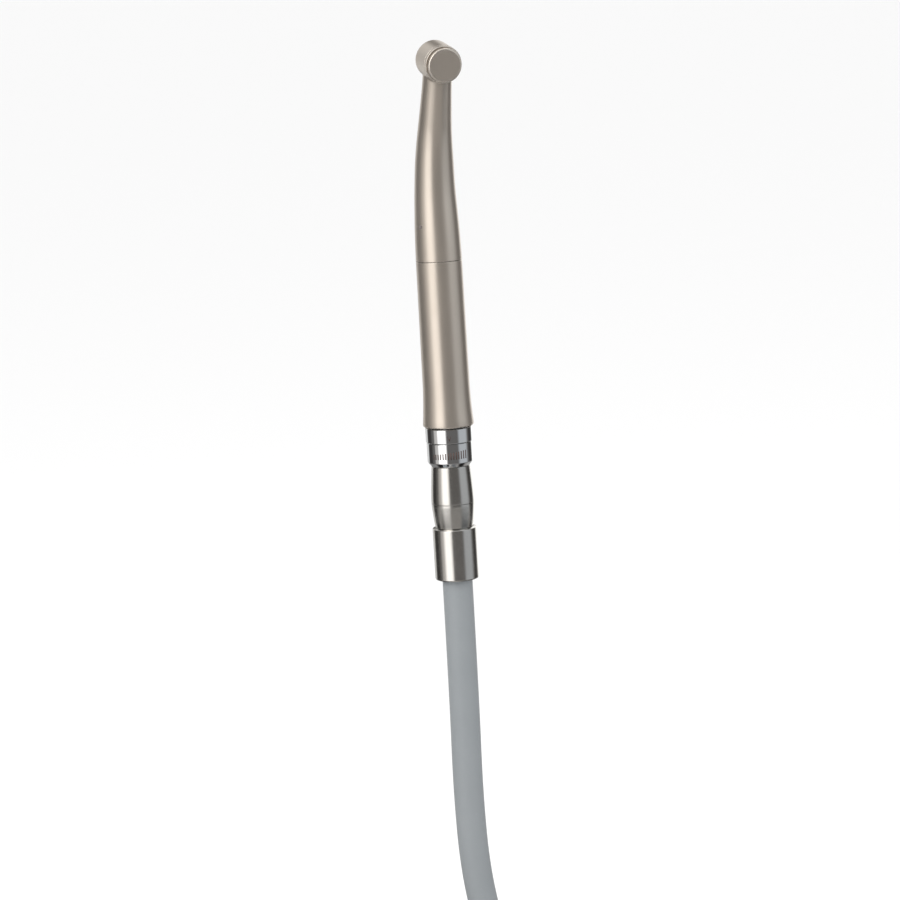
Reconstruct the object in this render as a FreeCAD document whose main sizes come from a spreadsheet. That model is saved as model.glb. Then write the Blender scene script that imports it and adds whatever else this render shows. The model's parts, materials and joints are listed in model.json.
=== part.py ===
"""High speed dental handpiece with its quick coupling and a coiled four-hole hose.

The handle axis is Z. The origin is the centre of the coupling's conical shoulder, the
face that sits in a holder. The head is at the top, leaning towards -Y, with its push
button on the -Y side and its bur mouth on the +Y side. Lengths are in millimetres.
"""

import FreeCAD, Part
import math
import os
import re
import Sketcher

doc = FreeCAD.newDocument("HighSpeedHandpiece")

# The driving dimensions, one cell each.
SIZES = {
    # centre line of the handle and the neck
    "seam_height": 68.0,
    "knee_height": 100.0,
    "knee_reach": 14.0,
    "neck_lean": 19.0,
    "neck_length": 34.9,
    "head_angle": 100.0,
    # outer shells
    "seam_radius": 7.55,
    "knee_radius": 6.3,
    "neck_radius": 4.7,
    "shell_wall": 1.0,
    "seam_gap": 0.3,
    "spigot_length": 10.0,
    "handle_bottom": 13.3,
    "flare_height": 13.7,
    "flare_radius": 8.38,
    "handle_radius": 7.72,
    "sleeve_bore": 6.5,
    # head, measured from its centre along its own axis
    "head_offset": 0.6,
    "head_radius": 6.15,
    "head_floor": 6.4,
    "head_lip": 3.6,
    "chamber_radius": 4.75,
    "seat_radius": 3.95,
    "thread_radius": 5.2,
    "mouth_radius": 1.8,
    "cap_radius": 6.1,
    "cap_thickness": 1.5,
    "button_radius": 5.65,
    "button_top": 6.9,
    "button_gap": 0.65,
    "button_edge": 0.55,
    "button_skirt": 4.75,
    # rotor and bearings
    "spindle_radius": 1.5875,
    "shank_radius": 0.8,
    "collet_radius": 1.1,
    "bearing_radius": 3.175,
    "bearing_width": 2.4,
    "ledge_radius": 2.6,
    "ledge_relief": 0.25,
    "front_bearing": -4.2,
    "rear_bearing": 1.8,
    "ball_radius": 0.5,
    "ball_pitch": 2.38,
    "race_gap": 0.02,
    "blade_tip": 4.45,
    "hub_radius": 2.5,
    # quick coupling
    "nose_radius": 5.2,
    "nose_top": 33.5,
    "slide_gap": 0.04,
    "collar_radius": 7.7,
    "collar_top": 12.9,
    "regulator_radius": 7.5,
    "regulator_top": 8.0,
    "shoulder": 1.5,
    "ring_section": 0.5,
    "tail_bottom": 27.0,
    "sleeve_length": 12.5,
    "lock_length": 8.0,
    "waist_radius": 6.4,
    "hip_radius": 7.1,
    "nut_radius": 7.25,
    "nut_bottom": 38.0,
    # hose
    "hose_radius": 5.0,
    "hose_top": 36.8,
    "coil_radius": 50.0,
    "coil_turns": 4.0,
    "coil_gap": 0.2,
    "coil_centre_x": -28.0,
    "coil_centre_z": -225.0,
    "tail_length": 36.0,
    "strap_width": 14.0,
    "strap_thickness": 1.4,
}

sheet = doc.addObject("Spreadsheet::Sheet", "Sizes")
for row, (alias, number) in enumerate(SIZES.items(), start=1):
    sheet.set(f"A{row}", alias)
    sheet.set(f"B{row}", str(number))
    sheet.setAlias(f"B{row}", alias)
doc.recompute()

# The centre line bends on one arc, whose ends are knee_reach from the corner of the knee.
BEND = "knee_reach / tan(neck_lean / 2)"
HEAD_TURN = "180 + neck_lean - head_angle"
HEAD_Y = f"-neck_length * sin(neck_lean) - head_offset * sin({HEAD_TURN})"
HEAD_Z = f"knee_height + neck_length * cos(neck_lean) + head_offset * cos({HEAD_TURN})"

pieces = []


def cells(expression):
    """The expression with every alias written as a cell of the sheet."""

    def named(word):
        return "Sizes." + word[0] if word[0] in SIZES else word[0]

    return re.sub(r"[a-z_]+", named, str(expression))


def value(expression):
    """The number that an expression gives now."""
    return float(sheet.evalExpression(cells(expression)))


def bind(thing, name, expression):
    """Tie one property of an object to the sheet."""
    thing.setExpression(name, cells(expression))


def place(thing, x="0", y="0", z="0", turn="0", axis=(1, 0, 0)):
    """Put an object at a bound point, turned by a bound angle about one axis."""
    thing.Placement = FreeCAD.Placement(FreeCAD.Vector(), FreeCAD.Rotation(FreeCAD.Vector(*axis), 1))
    for name, expression in (("x", x), ("y", y), ("z", z)):
        bind(thing, "Placement.Base." + name, expression)
    bind(thing, "Placement.Rotation.Angle", turn)
    return thing


def keep(thing, label):
    """Name an object as one piece of the handpiece."""
    thing.Label = label
    pieces.append(thing)
    return thing


def origin_plane(body, role):
    """One of the body's own origin planes."""
    return next(plane for plane in body.Origin.OriginFeatures if plane.Role == role)


def new_sketch(body, role):
    """An empty sketch on an origin plane of its body."""
    sketch = body.newObject("Sketcher::SketchObject", body.Name + "_sketch")
    sketch.AttachmentSupport = [(origin_plane(body, role), "")]
    sketch.MapMode = "FlatFace"
    return sketch


def arc_side(first, last, radius):
    """The minor arc from first to last: it bulges right of the way for a positive radius."""
    half = (last - first) * 0.5
    across = FreeCAD.Vector(-half.y, half.x, 0).normalize() * math.copysign(1, radius)
    centre = first + half + across * math.sqrt(radius**2 - half.Length**2)
    circle = Part.Circle(centre, FreeCAD.Vector(0, 0, 1), abs(radius))
    ends = [math.atan2(point.y - centre.y, point.x - centre.x) for point in (first, last)]
    if radius < 0:
        ends.reverse()
    if ends[1] < ends[0]:
        ends[1] += 2 * math.pi
    return Part.ArcOfCircle(circle, *ends)


def draw_loop(sketch, corners):
    """A closed outline: each corner is (x, y), or (x, y, radius) where an arc arrives at it."""
    base = sketch.GeometryCount
    points = [FreeCAD.Vector(value(corner[0]), value(corner[1]), 0) for corner in corners]
    starts = []
    for index, corner in enumerate(corners):
        after = corners[(index + 1) % len(corners)]
        ends = points[index], points[(index + 1) % len(corners)]
        if len(after) == 3:
            radius = value(after[2])
            sketch.addGeometry(arc_side(*ends, radius), False)
            starts.append(2 if radius < 0 else 1)
            bound = sketch.addConstraint(Sketcher.Constraint("Radius", base + index, abs(radius)))
            bind(sketch, f"Constraints[{bound}]", f"abs({after[2]})")
        else:
            sketch.addGeometry(Part.LineSegment(*ends), False)
            starts.append(1)
    for index, corner in enumerate(corners):
        after = (index + 1) % len(corners)
        joint = (base + index, 3 - starts[index], base + after, starts[after])
        sketch.addConstraint(Sketcher.Constraint("Coincident", *joint))
        end = (base + index, starts[index])
        for kind, number, line in (("DistanceX", corner[0], -2), ("DistanceY", corner[1], -1)):
            if number == "0":
                sketch.addConstraint(Sketcher.Constraint("PointOnObject", *end, line))
                continue
            bound = sketch.addConstraint(Sketcher.Constraint(kind, *end, value(number)))
            bind(sketch, f"Constraints[{bound}]", number)


def draw_circle(sketch, x, y, radius):
    """A circle whose centre and radius are bound to the sheet."""
    centre = FreeCAD.Vector(value(x), value(y), 0)
    base = sketch.addGeometry(Part.Circle(centre, FreeCAD.Vector(0, 0, 1), value(radius)), False)
    bound = sketch.addConstraint(Sketcher.Constraint("Radius", base, value(radius)))
    bind(sketch, f"Constraints[{bound}]", radius)
    for kind, number, line in (("DistanceX", x, -2), ("DistanceY", y, -1)):
        if number == "0":
            sketch.addConstraint(Sketcher.Constraint("PointOnObject", base, 3, line))
            continue
        bound = sketch.addConstraint(Sketcher.Constraint(kind, base, 3, value(number)))
        bind(sketch, f"Constraints[{bound}]", number)


def turned(label, *loops, angle="360"):
    """A body turned about its own Z axis from outlines of (radius, height) corners."""
    body = doc.addObject("PartDesign::Body", label)
    sketch = new_sketch(body, "XZ_Plane")
    for loop in loops:
        draw_loop(sketch, loop)
    turn = body.newObject("PartDesign::Revolution", label + "_turn")
    turn.Profile = sketch
    turn.ReferenceAxis = (sketch, ["V_Axis"])
    bind(turn, "Angle", angle)
    doc.recompute()
    return body


def ring(label, inner, outer, low, high, edge=None):
    """A plain turned ring, with both outer edges bevelled if edge is given."""
    if edge is None:
        return turned(label, [(inner, low), (outer, low), (outer, high), (inner, high)])
    corners = [
        (inner, low),
        (f"({outer}) - {edge}", low),
        (outer, f"({low}) + {edge}"),
        (outer, f"({high}) - {edge}"),
        (f"({outer}) - {edge}", high),
        (inner, high),
    ]
    return turned(label, corners)


def cut_pocket(body, role, circles, count=1, length=None, symmetric=False, loop=None):
    """Cut circles or a loop out of a body, along the normal of an origin plane, count times about Z."""
    before = body.Shape.Volume
    sketch = new_sketch(body, role)
    for circle in circles:
        draw_circle(sketch, *circle)
    if loop:
        draw_loop(sketch, loop)
    pocket = body.newObject("PartDesign::Pocket", body.Name + "_pocket")
    pocket.Profile = sketch
    pocket.Type = "ThroughAll" if length is None else "Length"
    pocket.SideType = "Symmetric" if symmetric else "One side"
    if length is not None:
        bind(pocket, "Length", length)
    doc.recompute()
    if not body.Shape.Volume < before:
        pocket.Reversed = True
        doc.recompute()
    if count > 1:
        repeat_about_axis(body, pocket, count)
    if not body.Shape.Volume < before:
        raise RuntimeError(body.Name + ": the pocket cuts nothing")


def repeat_about_axis(body, feature, count):
    """Repeat a feature evenly round the body's Z axis."""
    pattern = body.newObject("PartDesign::PolarPattern", body.Name + "_pattern")
    pattern.Originals = [feature]
    axis = next(line for line in body.Origin.OriginFeatures if line.Role == "Z_Axis")
    pattern.Axis = (axis, [""])
    pattern.Angle = 360
    pattern.Occurrences = count
    body.Tip = pattern
    doc.recompute()


def boolean(kind, label, base, *tools):
    """A Part boolean of one base and its tools: Cut or Fuse."""
    result = base
    for number, tool in enumerate(tools, start=1):
        step = doc.addObject("Part::" + kind, f"{label}_{kind.lower()}_{number}")
        step.Base, step.Tool = result, tool
        result = step
    doc.recompute()
    return result


def at_head(thing):
    """Put a piece of the head in place: its own +Z is the way the button faces."""
    return place(thing, "0", HEAD_Y, HEAD_Z, HEAD_TURN)


# The handle and the neck


def station(label, radius, along=None, bend=None, below=None):
    """A circle across the centre line: past the knee, part way round the bend, or below it."""
    circle = doc.addObject("Part::Circle", label)
    bind(circle, "Radius", radius)
    if below is not None:
        return place(circle, z=below)
    if bend is not None:
        angle = f"neck_lean * {bend}"
        low = f"knee_height - knee_reach + {BEND} * sin({angle})"
        return place(circle, y=f"-{BEND} * (1 - cos({angle}))", z=low, turn=angle)
    reach = f"neck_length * {along}"
    y, z = f"-({reach}) * sin(neck_lean)", f"knee_height + {reach} * cos(neck_lean)"
    return place(circle, y=y, z=z, turn="neck_lean")


def lofted_neck(label, inset, last):
    """The smooth round shape from the seam to the head, set in from the outside."""
    lower = "knee_radius + (seam_radius - knee_radius)"
    upper = "neck_radius + (knee_radius - neck_radius)"
    above_seam = "seam_height * 0.72 + (knee_height - knee_reach) * 0.28 + 2"
    sections = [
        station(label + "_seam", f"seam_radius - {inset}", below="seam_height"),
        station(label + "_handle", f"{lower} * 0.82 - {inset}", below=above_seam),
        station(label + "_bend_start", f"{lower} * 0.5 - {inset}", bend=0),
        station(label + "_bend_lower", f"{lower} * 0.26 - {inset}", bend=0.25),
        station(label + "_bend_middle", f"knee_radius - {inset}", bend=0.5),
        station(label + "_bend_upper", f"{upper} * 0.72 - {inset}", bend=0.75),
        station(label + "_bend_end", f"{upper} * 0.45 - {inset}", bend=1),
        station(label + "_neck", f"{upper} * 0.12 - {inset}", along=0.58),
        station(label + "_head", f"neck_radius - {inset}", along=last),
    ]
    loft = doc.addObject("Part::Loft", label)
    loft.Sections = sections
    loft.Solid = True
    doc.recompute()
    return loft


def front_shell():
    """The one-piece neck and head housing, with its spigot, chamber and ports."""
    barrel = turned(
        "barrel",
        [
            ("0", "-head_floor"),
            ("head_radius - 1.2", "-head_floor"),
            ("head_radius", "-head_floor + 1.2", "1.25"),
            ("head_radius", "head_lip - 0.25"),
            ("head_radius - 0.25", "head_lip"),
            ("0", "head_lip"),
        ],
    )
    spigot = turned(
        "spigot",
        [
            ("sleeve_bore - 0.9", "seam_height - spigot_length"),
            ("sleeve_bore - 0.02", "seam_height - spigot_length"),
            ("sleeve_bore - 0.02", "seam_height"),
            ("sleeve_bore - 0.02", "seam_height + 1"),
            ("sleeve_bore - 0.9", "seam_height + 1"),
        ],
    )
    cavity = turned(
        "cavity",
        [
            ("0", "-head_floor - 1"),
            ("mouth_radius + 0.8", "-head_floor - 1"),
            ("mouth_radius + 0.8", "-head_floor + 0.4"),
            ("mouth_radius", "-head_floor + 0.4"),
            ("mouth_radius", "front_bearing - bearing_width / 2 - ledge_relief"),
            ("ledge_radius", "front_bearing - bearing_width / 2 - ledge_relief"),
            ("ledge_radius", "front_bearing - bearing_width / 2"),
            ("seat_radius", "front_bearing - bearing_width / 2"),
            ("seat_radius", "front_bearing + bearing_width / 2 + 0.25"),
            ("chamber_radius", "front_bearing + bearing_width / 2 + 0.25"),
            ("chamber_radius", "rear_bearing - bearing_width / 2 - 0.3"),
            ("thread_radius", "rear_bearing - bearing_width / 2 - 0.3"),
            ("thread_radius", "head_lip + 1"),
            ("0", "head_lip + 1"),
        ],
    )
    ports = [round_port("nozzle", "0", "0.9", "1.18", "6"), round_port("exhaust", "0", "-1.6", "1.2", "6")]
    sprays = [spray_port(number) for number in range(3)]
    bore = lofted_neck("neck_bore", "shell_wall", "(1 - 5.6 / neck_length)")
    dot = dot_cylinder("dot_recess", "0.01")
    outside = boolean("Fuse", "outside", lofted_neck("neck", "0", "0.93"), at_head(barrel))
    hollow = boolean("Cut", "hollow", outside, bore)
    whole = boolean("Fuse", "whole", hollow, spigot)
    keep(boolean("Cut", "shell", whole, at_head(cavity), *ports, *sprays, dot), "front_shell")


def round_port(label, x, offset, radius, length):
    """A drilling along the neck into the chamber, beside the centre line."""
    port = doc.addObject("Part::Cylinder", label)
    bind(port, "Radius", radius)
    bind(port, "Height", length)
    reach = f"(neck_length - {length} - 1)"
    y = f"-{reach} * sin(neck_lean) + {offset} * cos(neck_lean)"
    z = f"knee_height + {reach} * cos(neck_lean) + {offset} * sin(neck_lean)"
    return place(port, x, y, z, "neck_lean")


def spray_port(number):
    """One of three small spray holes round the bur mouth, blind behind the face."""
    port = doc.addObject("Part::Cylinder", f"spray_port_{number + 1}")
    port.Radius = 0.3
    port.Height = 1.2
    around = f"{120 * number - 90}"
    across = f"(head_radius - 2.1) * sin({around})"
    deep = "(head_floor + 0.7)"
    x = f"(head_radius - 2.1) * cos({around})"
    y = f"{HEAD_Y} + ({across}) * cos({HEAD_TURN}) + {deep} * sin({HEAD_TURN})"
    z = f"{HEAD_Z} + ({across}) * sin({HEAD_TURN}) - {deep} * cos({HEAD_TURN})"
    return place(port, x, y, z, HEAD_TURN)


def dot_cylinder(label, gap):
    """A short cylinder let into the side of the shell, for the marking dot."""
    dot = doc.addObject("Part::Cylinder", label)
    bind(dot, "Radius", f"0.6 + {gap}")
    dot.Height = 0.7
    bind(dot, "Placement.Base.x", "-(seam_radius - 0.8) * cos(26)")
    bind(dot, "Placement.Base.y", "-(seam_radius - 0.8) * sin(26)")
    bind(dot, "Placement.Base.z", "seam_height + 11.6")
    side = FreeCAD.Vector(-math.cos(math.radians(26)), -math.sin(math.radians(26)), 0)
    dot.Placement.Rotation = FreeCAD.Rotation(FreeCAD.Vector(0, 0, 1), side)
    return dot


def handle():
    """The rear sleeve, its seam gasket, and the socket and manifold inside it."""
    top = "seam_height - seam_gap"
    sleeve = turned(
        "handle_sleeve",
        [
            ("sleeve_bore", "handle_bottom"),
            ("flare_radius - 0.4", "handle_bottom"),
            ("flare_radius", "handle_bottom + 0.4"),
            ("handle_radius", "handle_bottom + flare_height", "-160"),
            ("seam_radius", f"{top} - 0.15"),
            ("seam_radius - 0.15", top),
            ("sleeve_bore", top),
        ],
    )
    keep(sleeve, "handle_sleeve")
    keep(ring("seam_gasket", "sleeve_bore", "seam_radius - 0.15", top, "seam_height"), "seam_gasket")
    bore = "nose_radius + slide_gap"
    socket = turned(
        "rear_socket",
        [
            (bore, "handle_bottom + 0.5"),
            ("sleeve_bore - 0.01", "handle_bottom + 0.5"),
            ("sleeve_bore - 0.01", "nose_top + 3"),
            ("3.4", "nose_top + 3"),
            ("3.4", "nose_top + 1.6"),
            (bore, "nose_top + 0.4"),
            (bore, "20.8"),
            (f"{bore} + 0.35", "20.45"),
            (f"{bore} + 0.35", "19.55"),
            (bore, "19.2"),
        ],
    )
    keep(socket, "rear_socket")
    manifold = ring("tube_manifold", "0", "sleeve_bore - 0.01", "nose_top + 3", "nose_top + 6.5")
    holes = [(x, y, f"{radius} + 0.02") for _, x, y, radius, _ in INNER_TUBES]
    cut_pocket(manifold, "XY_Plane", [*holes, ("0", "-3.6", "1.1")], symmetric=True)
    keep(manifold, "tube_manifold")


# The tubes in the neck: each one's name, its place across the neck, its radius and its wall.
INNER_TUBES = (
    ("drive_air_tube", "0", "0.9", "1.15", "0.2"),
    ("spray_water_tube", "2.3", "-0.3", "0.6", "0.15"),
    ("spray_air_tube", "-2.3", "-0.3", "0.6", "0.15"),
)


def inner_tube(label, x, offset, radius, wall):
    """A tube that follows the centre line from the manifold to the head."""
    body = doc.addObject("PartDesign::Body", label)
    route = new_sketch(body, "YZ_Plane")
    low = "nose_top + 3.5"
    ends = ("knee_height - knee_reach", "(neck_length - knee_reach - 7.2)")
    swing = f"({BEND} + {offset})"
    bend_y = f"{swing} * cos(neck_lean) - {BEND}"
    bend_z = f"{ends[0]} + {swing} * sin(neck_lean)"
    points = [
        (offset, low),
        (offset, ends[0]),
        (bend_y, bend_z),
        (f"{bend_y} - {ends[1]} * sin(neck_lean)", f"{bend_z} + {ends[1]} * cos(neck_lean)"),
    ]
    spots = [FreeCAD.Vector(value(across), value(up), 0) for across, up in points]
    route.addGeometry(Part.LineSegment(spots[0], spots[1]), False)
    route.addGeometry(arc_side(spots[1], spots[2], value(swing)), False)
    route.addGeometry(Part.LineSegment(spots[2], spots[3]), False)
    route.addConstraint(Sketcher.Constraint("Coincident", 0, 2, 1, 1))
    route.addConstraint(Sketcher.Constraint("Coincident", 1, 2, 2, 1))
    bound = route.addConstraint(Sketcher.Constraint("Radius", 1, value(swing)))
    bind(route, f"Constraints[{bound}]", swing)
    for end, (across, up) in zip(((0, 1), (0, 2), (2, 1), (2, 2)), points):
        for kind, number in (("DistanceX", across), ("DistanceY", up)):
            bound = route.addConstraint(Sketcher.Constraint(kind, *end, value(number)))
            bind(route, f"Constraints[{bound}]", number)
    section = new_sketch(body, "XY_Plane")
    bind(section, "AttachmentOffset.Base.z", low)
    draw_circle(section, "0", offset, radius)
    draw_circle(section, "0", offset, f"{radius} - {wall}")
    pipe = body.newObject("PartDesign::AdditivePipe", label + "_pipe")
    pipe.Profile = section
    pipe.Spine = (route, ["Edge1", "Edge2", "Edge3"])
    doc.recompute()
    keep(place(body, x=x), label)


# The head


def cap_and_button():
    """The screwed back cap, and the button that releases the bur."""
    skirt_low = "rear_bearing - bearing_width / 2 - 0.25"
    web = "rear_bearing + bearing_width / 2 + 0.15"
    rim = "head_lip + 0.05 + cap_thickness"
    cap = turned(
        "back_cap",
        [
            ("seat_radius", skirt_low),
            ("thread_radius - 0.01", skirt_low),
            ("thread_radius - 0.01", "head_lip + 0.05"),
            ("cap_radius - 0.15", "head_lip + 0.05"),
            ("cap_radius", "head_lip + 0.2"),
            ("cap_radius", f"{rim} - 0.3"),
            ("cap_radius - 0.3", rim),
            ("button_skirt + 0.05", rim),
            ("button_skirt + 0.05", f"{web} + 0.4"),
            ("1.3", f"{web} + 0.4"),
            ("1.3", web),
            ("seat_radius", web),
        ],
    )
    keep(at_head(cap), "back_cap")
    under = f"{rim} + button_gap"
    button = turned(
        "push_button",
        [
            ("0", f"{web} - 0.05"),
            ("0.85", f"{web} - 0.05"),
            ("1", f"{web} + 0.1"),
            ("1", f"{under} - 0.2"),
            ("button_skirt - 0.75", f"{under} - 0.2"),
            ("button_skirt - 0.75", f"{web} + 1.15"),
            ("button_skirt", f"{web} + 1.15"),
            ("button_skirt", under),
            ("button_radius", under),
            ("button_radius", "button_top - button_edge"),
            ("button_radius - button_edge", "button_top", "button_edge"),
            ("0", "button_top"),
        ],
    )
    keep(at_head(button), "push_button")
    spring = disc_spring("button_spring", "1.5", "3.85", f"{web} + 0.42", f"{under} - 0.22", 4)
    keep(at_head(spring), "button_spring")


def disc_spring(label, inner, outer, low, high, folds):
    """A stack of coned discs, joined at their edges, drawn as one folded outline."""
    skin = "0.2"
    step = f"(({high}) - ({low}) - {skin}) / {folds}"
    rise = []
    for fold in range(folds + 1):
        rise.append((inner if fold % 2 == 0 else outer, f"({low}) + {fold} * {step}"))
    fall = [(radius, f"{height} + {skin}") for radius, height in reversed(rise)]
    return turned(label, rise + fall)


def bearing(label, middle):
    """A ball bearing: two grooved rings, a caged row of balls and an O-ring round it."""
    low, high = f"{middle} - bearing_width / 2", f"{middle} + bearing_width / 2"
    groove = "ball_radius + race_gap"
    shoulders = {"inner": "ball_pitch - 0.38", "outer": "ball_pitch + 0.37"}
    inner_half = f"sqrt(({groove})^2 - 0.38^2)"
    outer_half = f"sqrt(({groove})^2 - 0.37^2)"
    inner = turned(
        label + "_inner_ring",
        [
            ("spindle_radius", low),
            (shoulders["inner"], low),
            (shoulders["inner"], f"{middle} - {inner_half}"),
            (shoulders["inner"], f"{middle} + {inner_half}", f"-({groove})"),
            (shoulders["inner"], high),
            ("spindle_radius", high),
        ],
    )
    keep(at_head(inner), label + "_inner_ring")
    outer = turned(
        label + "_outer_ring",
        [
            ("bearing_radius", low),
            ("bearing_radius", high),
            (shoulders["outer"], high),
            (shoulders["outer"], f"{middle} + {outer_half}"),
            (shoulders["outer"], f"{middle} - {outer_half}", f"-({groove})"),
            (shoulders["outer"], low),
        ],
    )
    keep(at_head(outer), label + "_outer_ring")
    walls = f"{shoulders['inner']} + 0.08", f"{shoulders['outer']} - 0.08"
    cage = ring(label + "_cage", *walls, f"{middle} - 0.75", f"{middle} + 0.75")
    cut_pocket(cage, "XZ_Plane", [("0", middle, "ball_radius + 0.03")], count=7, length="4")
    keep(at_head(cage), label + "_cage")
    keep(ball_row(label, middle), label + "_balls")
    ends = f"{middle} - 0.45", f"{middle} + 0.45"
    grip = ring(label + "_o_ring", "bearing_radius", "seat_radius - 0.01", *ends, "0.2")
    keep(at_head(grip), label + "_o_ring")


def ball_row(label, middle):
    """Seven balls, evenly spaced in one bearing."""
    balls = []
    for number in range(7):
        ball = doc.addObject("Part::Sphere", f"{label}_ball_{number + 1}")
        bind(ball, "Radius", "ball_radius")
        around = f"{number} * 360 / 7 + 90"
        across = f"ball_pitch * sin({around})"
        y = f"{HEAD_Y} + {across} * cos({HEAD_TURN}) - ({middle}) * sin({HEAD_TURN})"
        z = f"{HEAD_Z} + {across} * sin({HEAD_TURN}) + ({middle}) * cos({HEAD_TURN})"
        balls.append(place(ball, f"ball_pitch * cos({around})", y, z, HEAD_TURN))
    row = doc.addObject("Part::Compound", label + "_ball_row")
    row.Links = balls
    doc.recompute()
    return row


def rotor():
    """The spindle with its bladed wheel, and the chuck that slides in it."""
    low = "front_bearing - bearing_width / 2 - 0.45"
    high = "rear_bearing + bearing_width / 2 - 0.05"
    plug_low = "rear_bearing - bearing_width / 2 - 0.2"
    spindle = turned(
        "turbine_spindle",
        [
            ("collet_radius", low),
            ("spindle_radius", low),
            ("spindle_radius", high),
            ("collet_radius", high),
            ("collet_radius", f"{plug_low} + 0.62"),
            ("0.53", f"{plug_low} + 0.62"),
            ("0.53", f"{plug_low} + 0.42"),
            ("collet_radius", f"{plug_low} + 0.42"),
        ],
    )
    keep(at_head(spindle), "turbine_spindle")
    wheel_low = "front_bearing + bearing_width / 2 + 0.35"
    wheel_high = "rear_bearing - bearing_width / 2 - 0.4"
    wheel = ring("turbine_wheel", "spindle_radius", "hub_radius", wheel_low, wheel_high)
    blade = new_sketch(wheel, "XY_Plane")
    bind(blade, "AttachmentOffset.Base.z", wheel_low)
    draw_loop(
        blade,
        [
            ("hub_radius - 0.2", "-0.25"),
            ("blade_tip - 0.2", "0.55", "4"),
            ("blade_tip - 0.35", "0.85"),
            ("hub_radius - 0.2", "0.25", "-3.6"),
        ],
    )
    pad = wheel.newObject("PartDesign::Pad", "turbine_blade")
    pad.Profile = blade
    bind(pad, "Length", f"({wheel_high}) - ({wheel_low})")
    doc.recompute()
    repeat_about_axis(wheel, pad, 11)
    keep(at_head(wheel), "turbine_wheel")
    collet = turned(
        "chuck_collet",
        [
            ("shank_radius", f"{low} + 0.05"),
            ("collet_radius - 0.02", f"{low} + 0.05"),
            ("collet_radius - 0.02", "rear_bearing - bearing_width / 2 - 0.2"),
            ("shank_radius", "rear_bearing - bearing_width / 2 - 0.2"),
        ],
    )
    slit_top = "front_bearing + 1.8"
    slit = [("0", low), ("0.08", low), ("0.08", slit_top), ("0", slit_top)]
    cut_pocket(collet, "XZ_Plane", [], count=3, length="3", loop=slit)
    keep(at_head(collet), "chuck_collet")
    plug = turned(
        "chuck_plunger",
        [
            ("0", plug_low),
            ("collet_radius - 0.02", plug_low),
            ("collet_radius - 0.02", f"{plug_low} + 0.4"),
            ("0.5", f"{plug_low} + 0.4"),
            ("0.5", f"{high} - 0.7"),
            ("collet_radius - 0.02", f"{high} - 0.7"),
            ("collet_radius - 0.02", f"{high} - 0.2"),
            ("0", f"{high} - 0.2"),
        ],
    )
    keep(at_head(plug), "chuck_plunger")
    ends = f"{plug_low} + 0.63", f"{high} - 0.71"
    keep(at_head(disc_spring("chuck_spring", "0.55", "collet_radius - 0.03", *ends, 4)), "chuck_spring")
    face = "front_bearing + bearing_width / 2"
    washer = ring("preload_washer", "2.9", "seat_radius - 0.05", f"{face} + 0.01", f"{face} + 0.2")
    keep(at_head(washer), "preload_washer")


# The quick coupling

# Where the nose's grooves are, the channels of the hose and the walls of its pipes.
SNAP_GROOVE = "20"
GROOVES = ("15.8", SNAP_GROOVE, "24", "27.4", "30.8")
CHANNELS = (
    ("drive_air", "0", "0", "1.3"),
    ("exhaust_air", "3.2", "0", "0.7"),
    ("spray_water", "3.2 * cos(120)", "3.2 * sin(120)", "0.7"),
    ("spray_air", "3.2 * cos(240)", "3.2 * sin(240)", "0.7"),
)
PIPE_WALL = "0.25"


def coupling_core():
    """The turned nose, flange and tail, with its air and water channels."""
    floor = "nose_radius - 2 * ring_section"
    corners = [("1.3", "-tail_bottom"), ("nose_radius", "-tail_bottom")]
    for middle in GROOVES:
        half = "0.5" if middle == SNAP_GROOVE else "0.62"
        corners += [
            ("nose_radius", f"{middle} - {half}"),
            (floor, f"{middle} - {half}"),
            (floor, f"{middle} + {half}"),
            ("nose_radius", f"{middle} + {half}"),
        ]
    corners += [("nose_radius", "nose_top - 0.8"), ("nose_radius - 0.8", "nose_top"), ("1.3", "nose_top")]
    core = turned("core_blank", corners)
    cut_pocket(core, "XY_Plane", [("3.2", "0", "0.55")], count=3, symmetric=True)
    keep(valve_bay(core), "coupling_core")


def valve_bay(core):
    """The wider well at the foot of one channel, for the non-return valve."""
    well = doc.addObject("Part::Cylinder", "valve_well")
    well.Radius = 0.95
    well.Height = 9
    place(well, "3.2", "0", "-tail_bottom - 1")
    return boolean("Cut", "bored_core", core, well)


def coupling_rings():
    """The O-rings and the snap ring on the nose."""
    radius = "nose_radius - ring_section + 0.02"
    for number, middle in enumerate((groove for groove in GROOVES if groove != SNAP_GROOVE), start=1):
        seal = doc.addObject("Part::Torus", f"nose_o_ring_{number}")
        bind(seal, "Radius1", radius)
        bind(seal, "Radius2", "ring_section")
        keep(place(seal, z=middle), f"nose_o_ring_{number}")
    walls = "nose_radius - 0.85", "nose_radius + 0.02"
    snap = ring("snap_ring", *walls, f"{SNAP_GROOVE} - 0.4", f"{SNAP_GROOVE} + 0.4", "0.15")
    gap = [("-0.6", "0"), ("0.6", "0"), ("0.6", "nose_radius + 1"), ("-0.6", "nose_radius + 1")]
    cut_pocket(snap, "XY_Plane", [], symmetric=True, loop=gap)
    keep(snap, "snap_ring")


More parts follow.
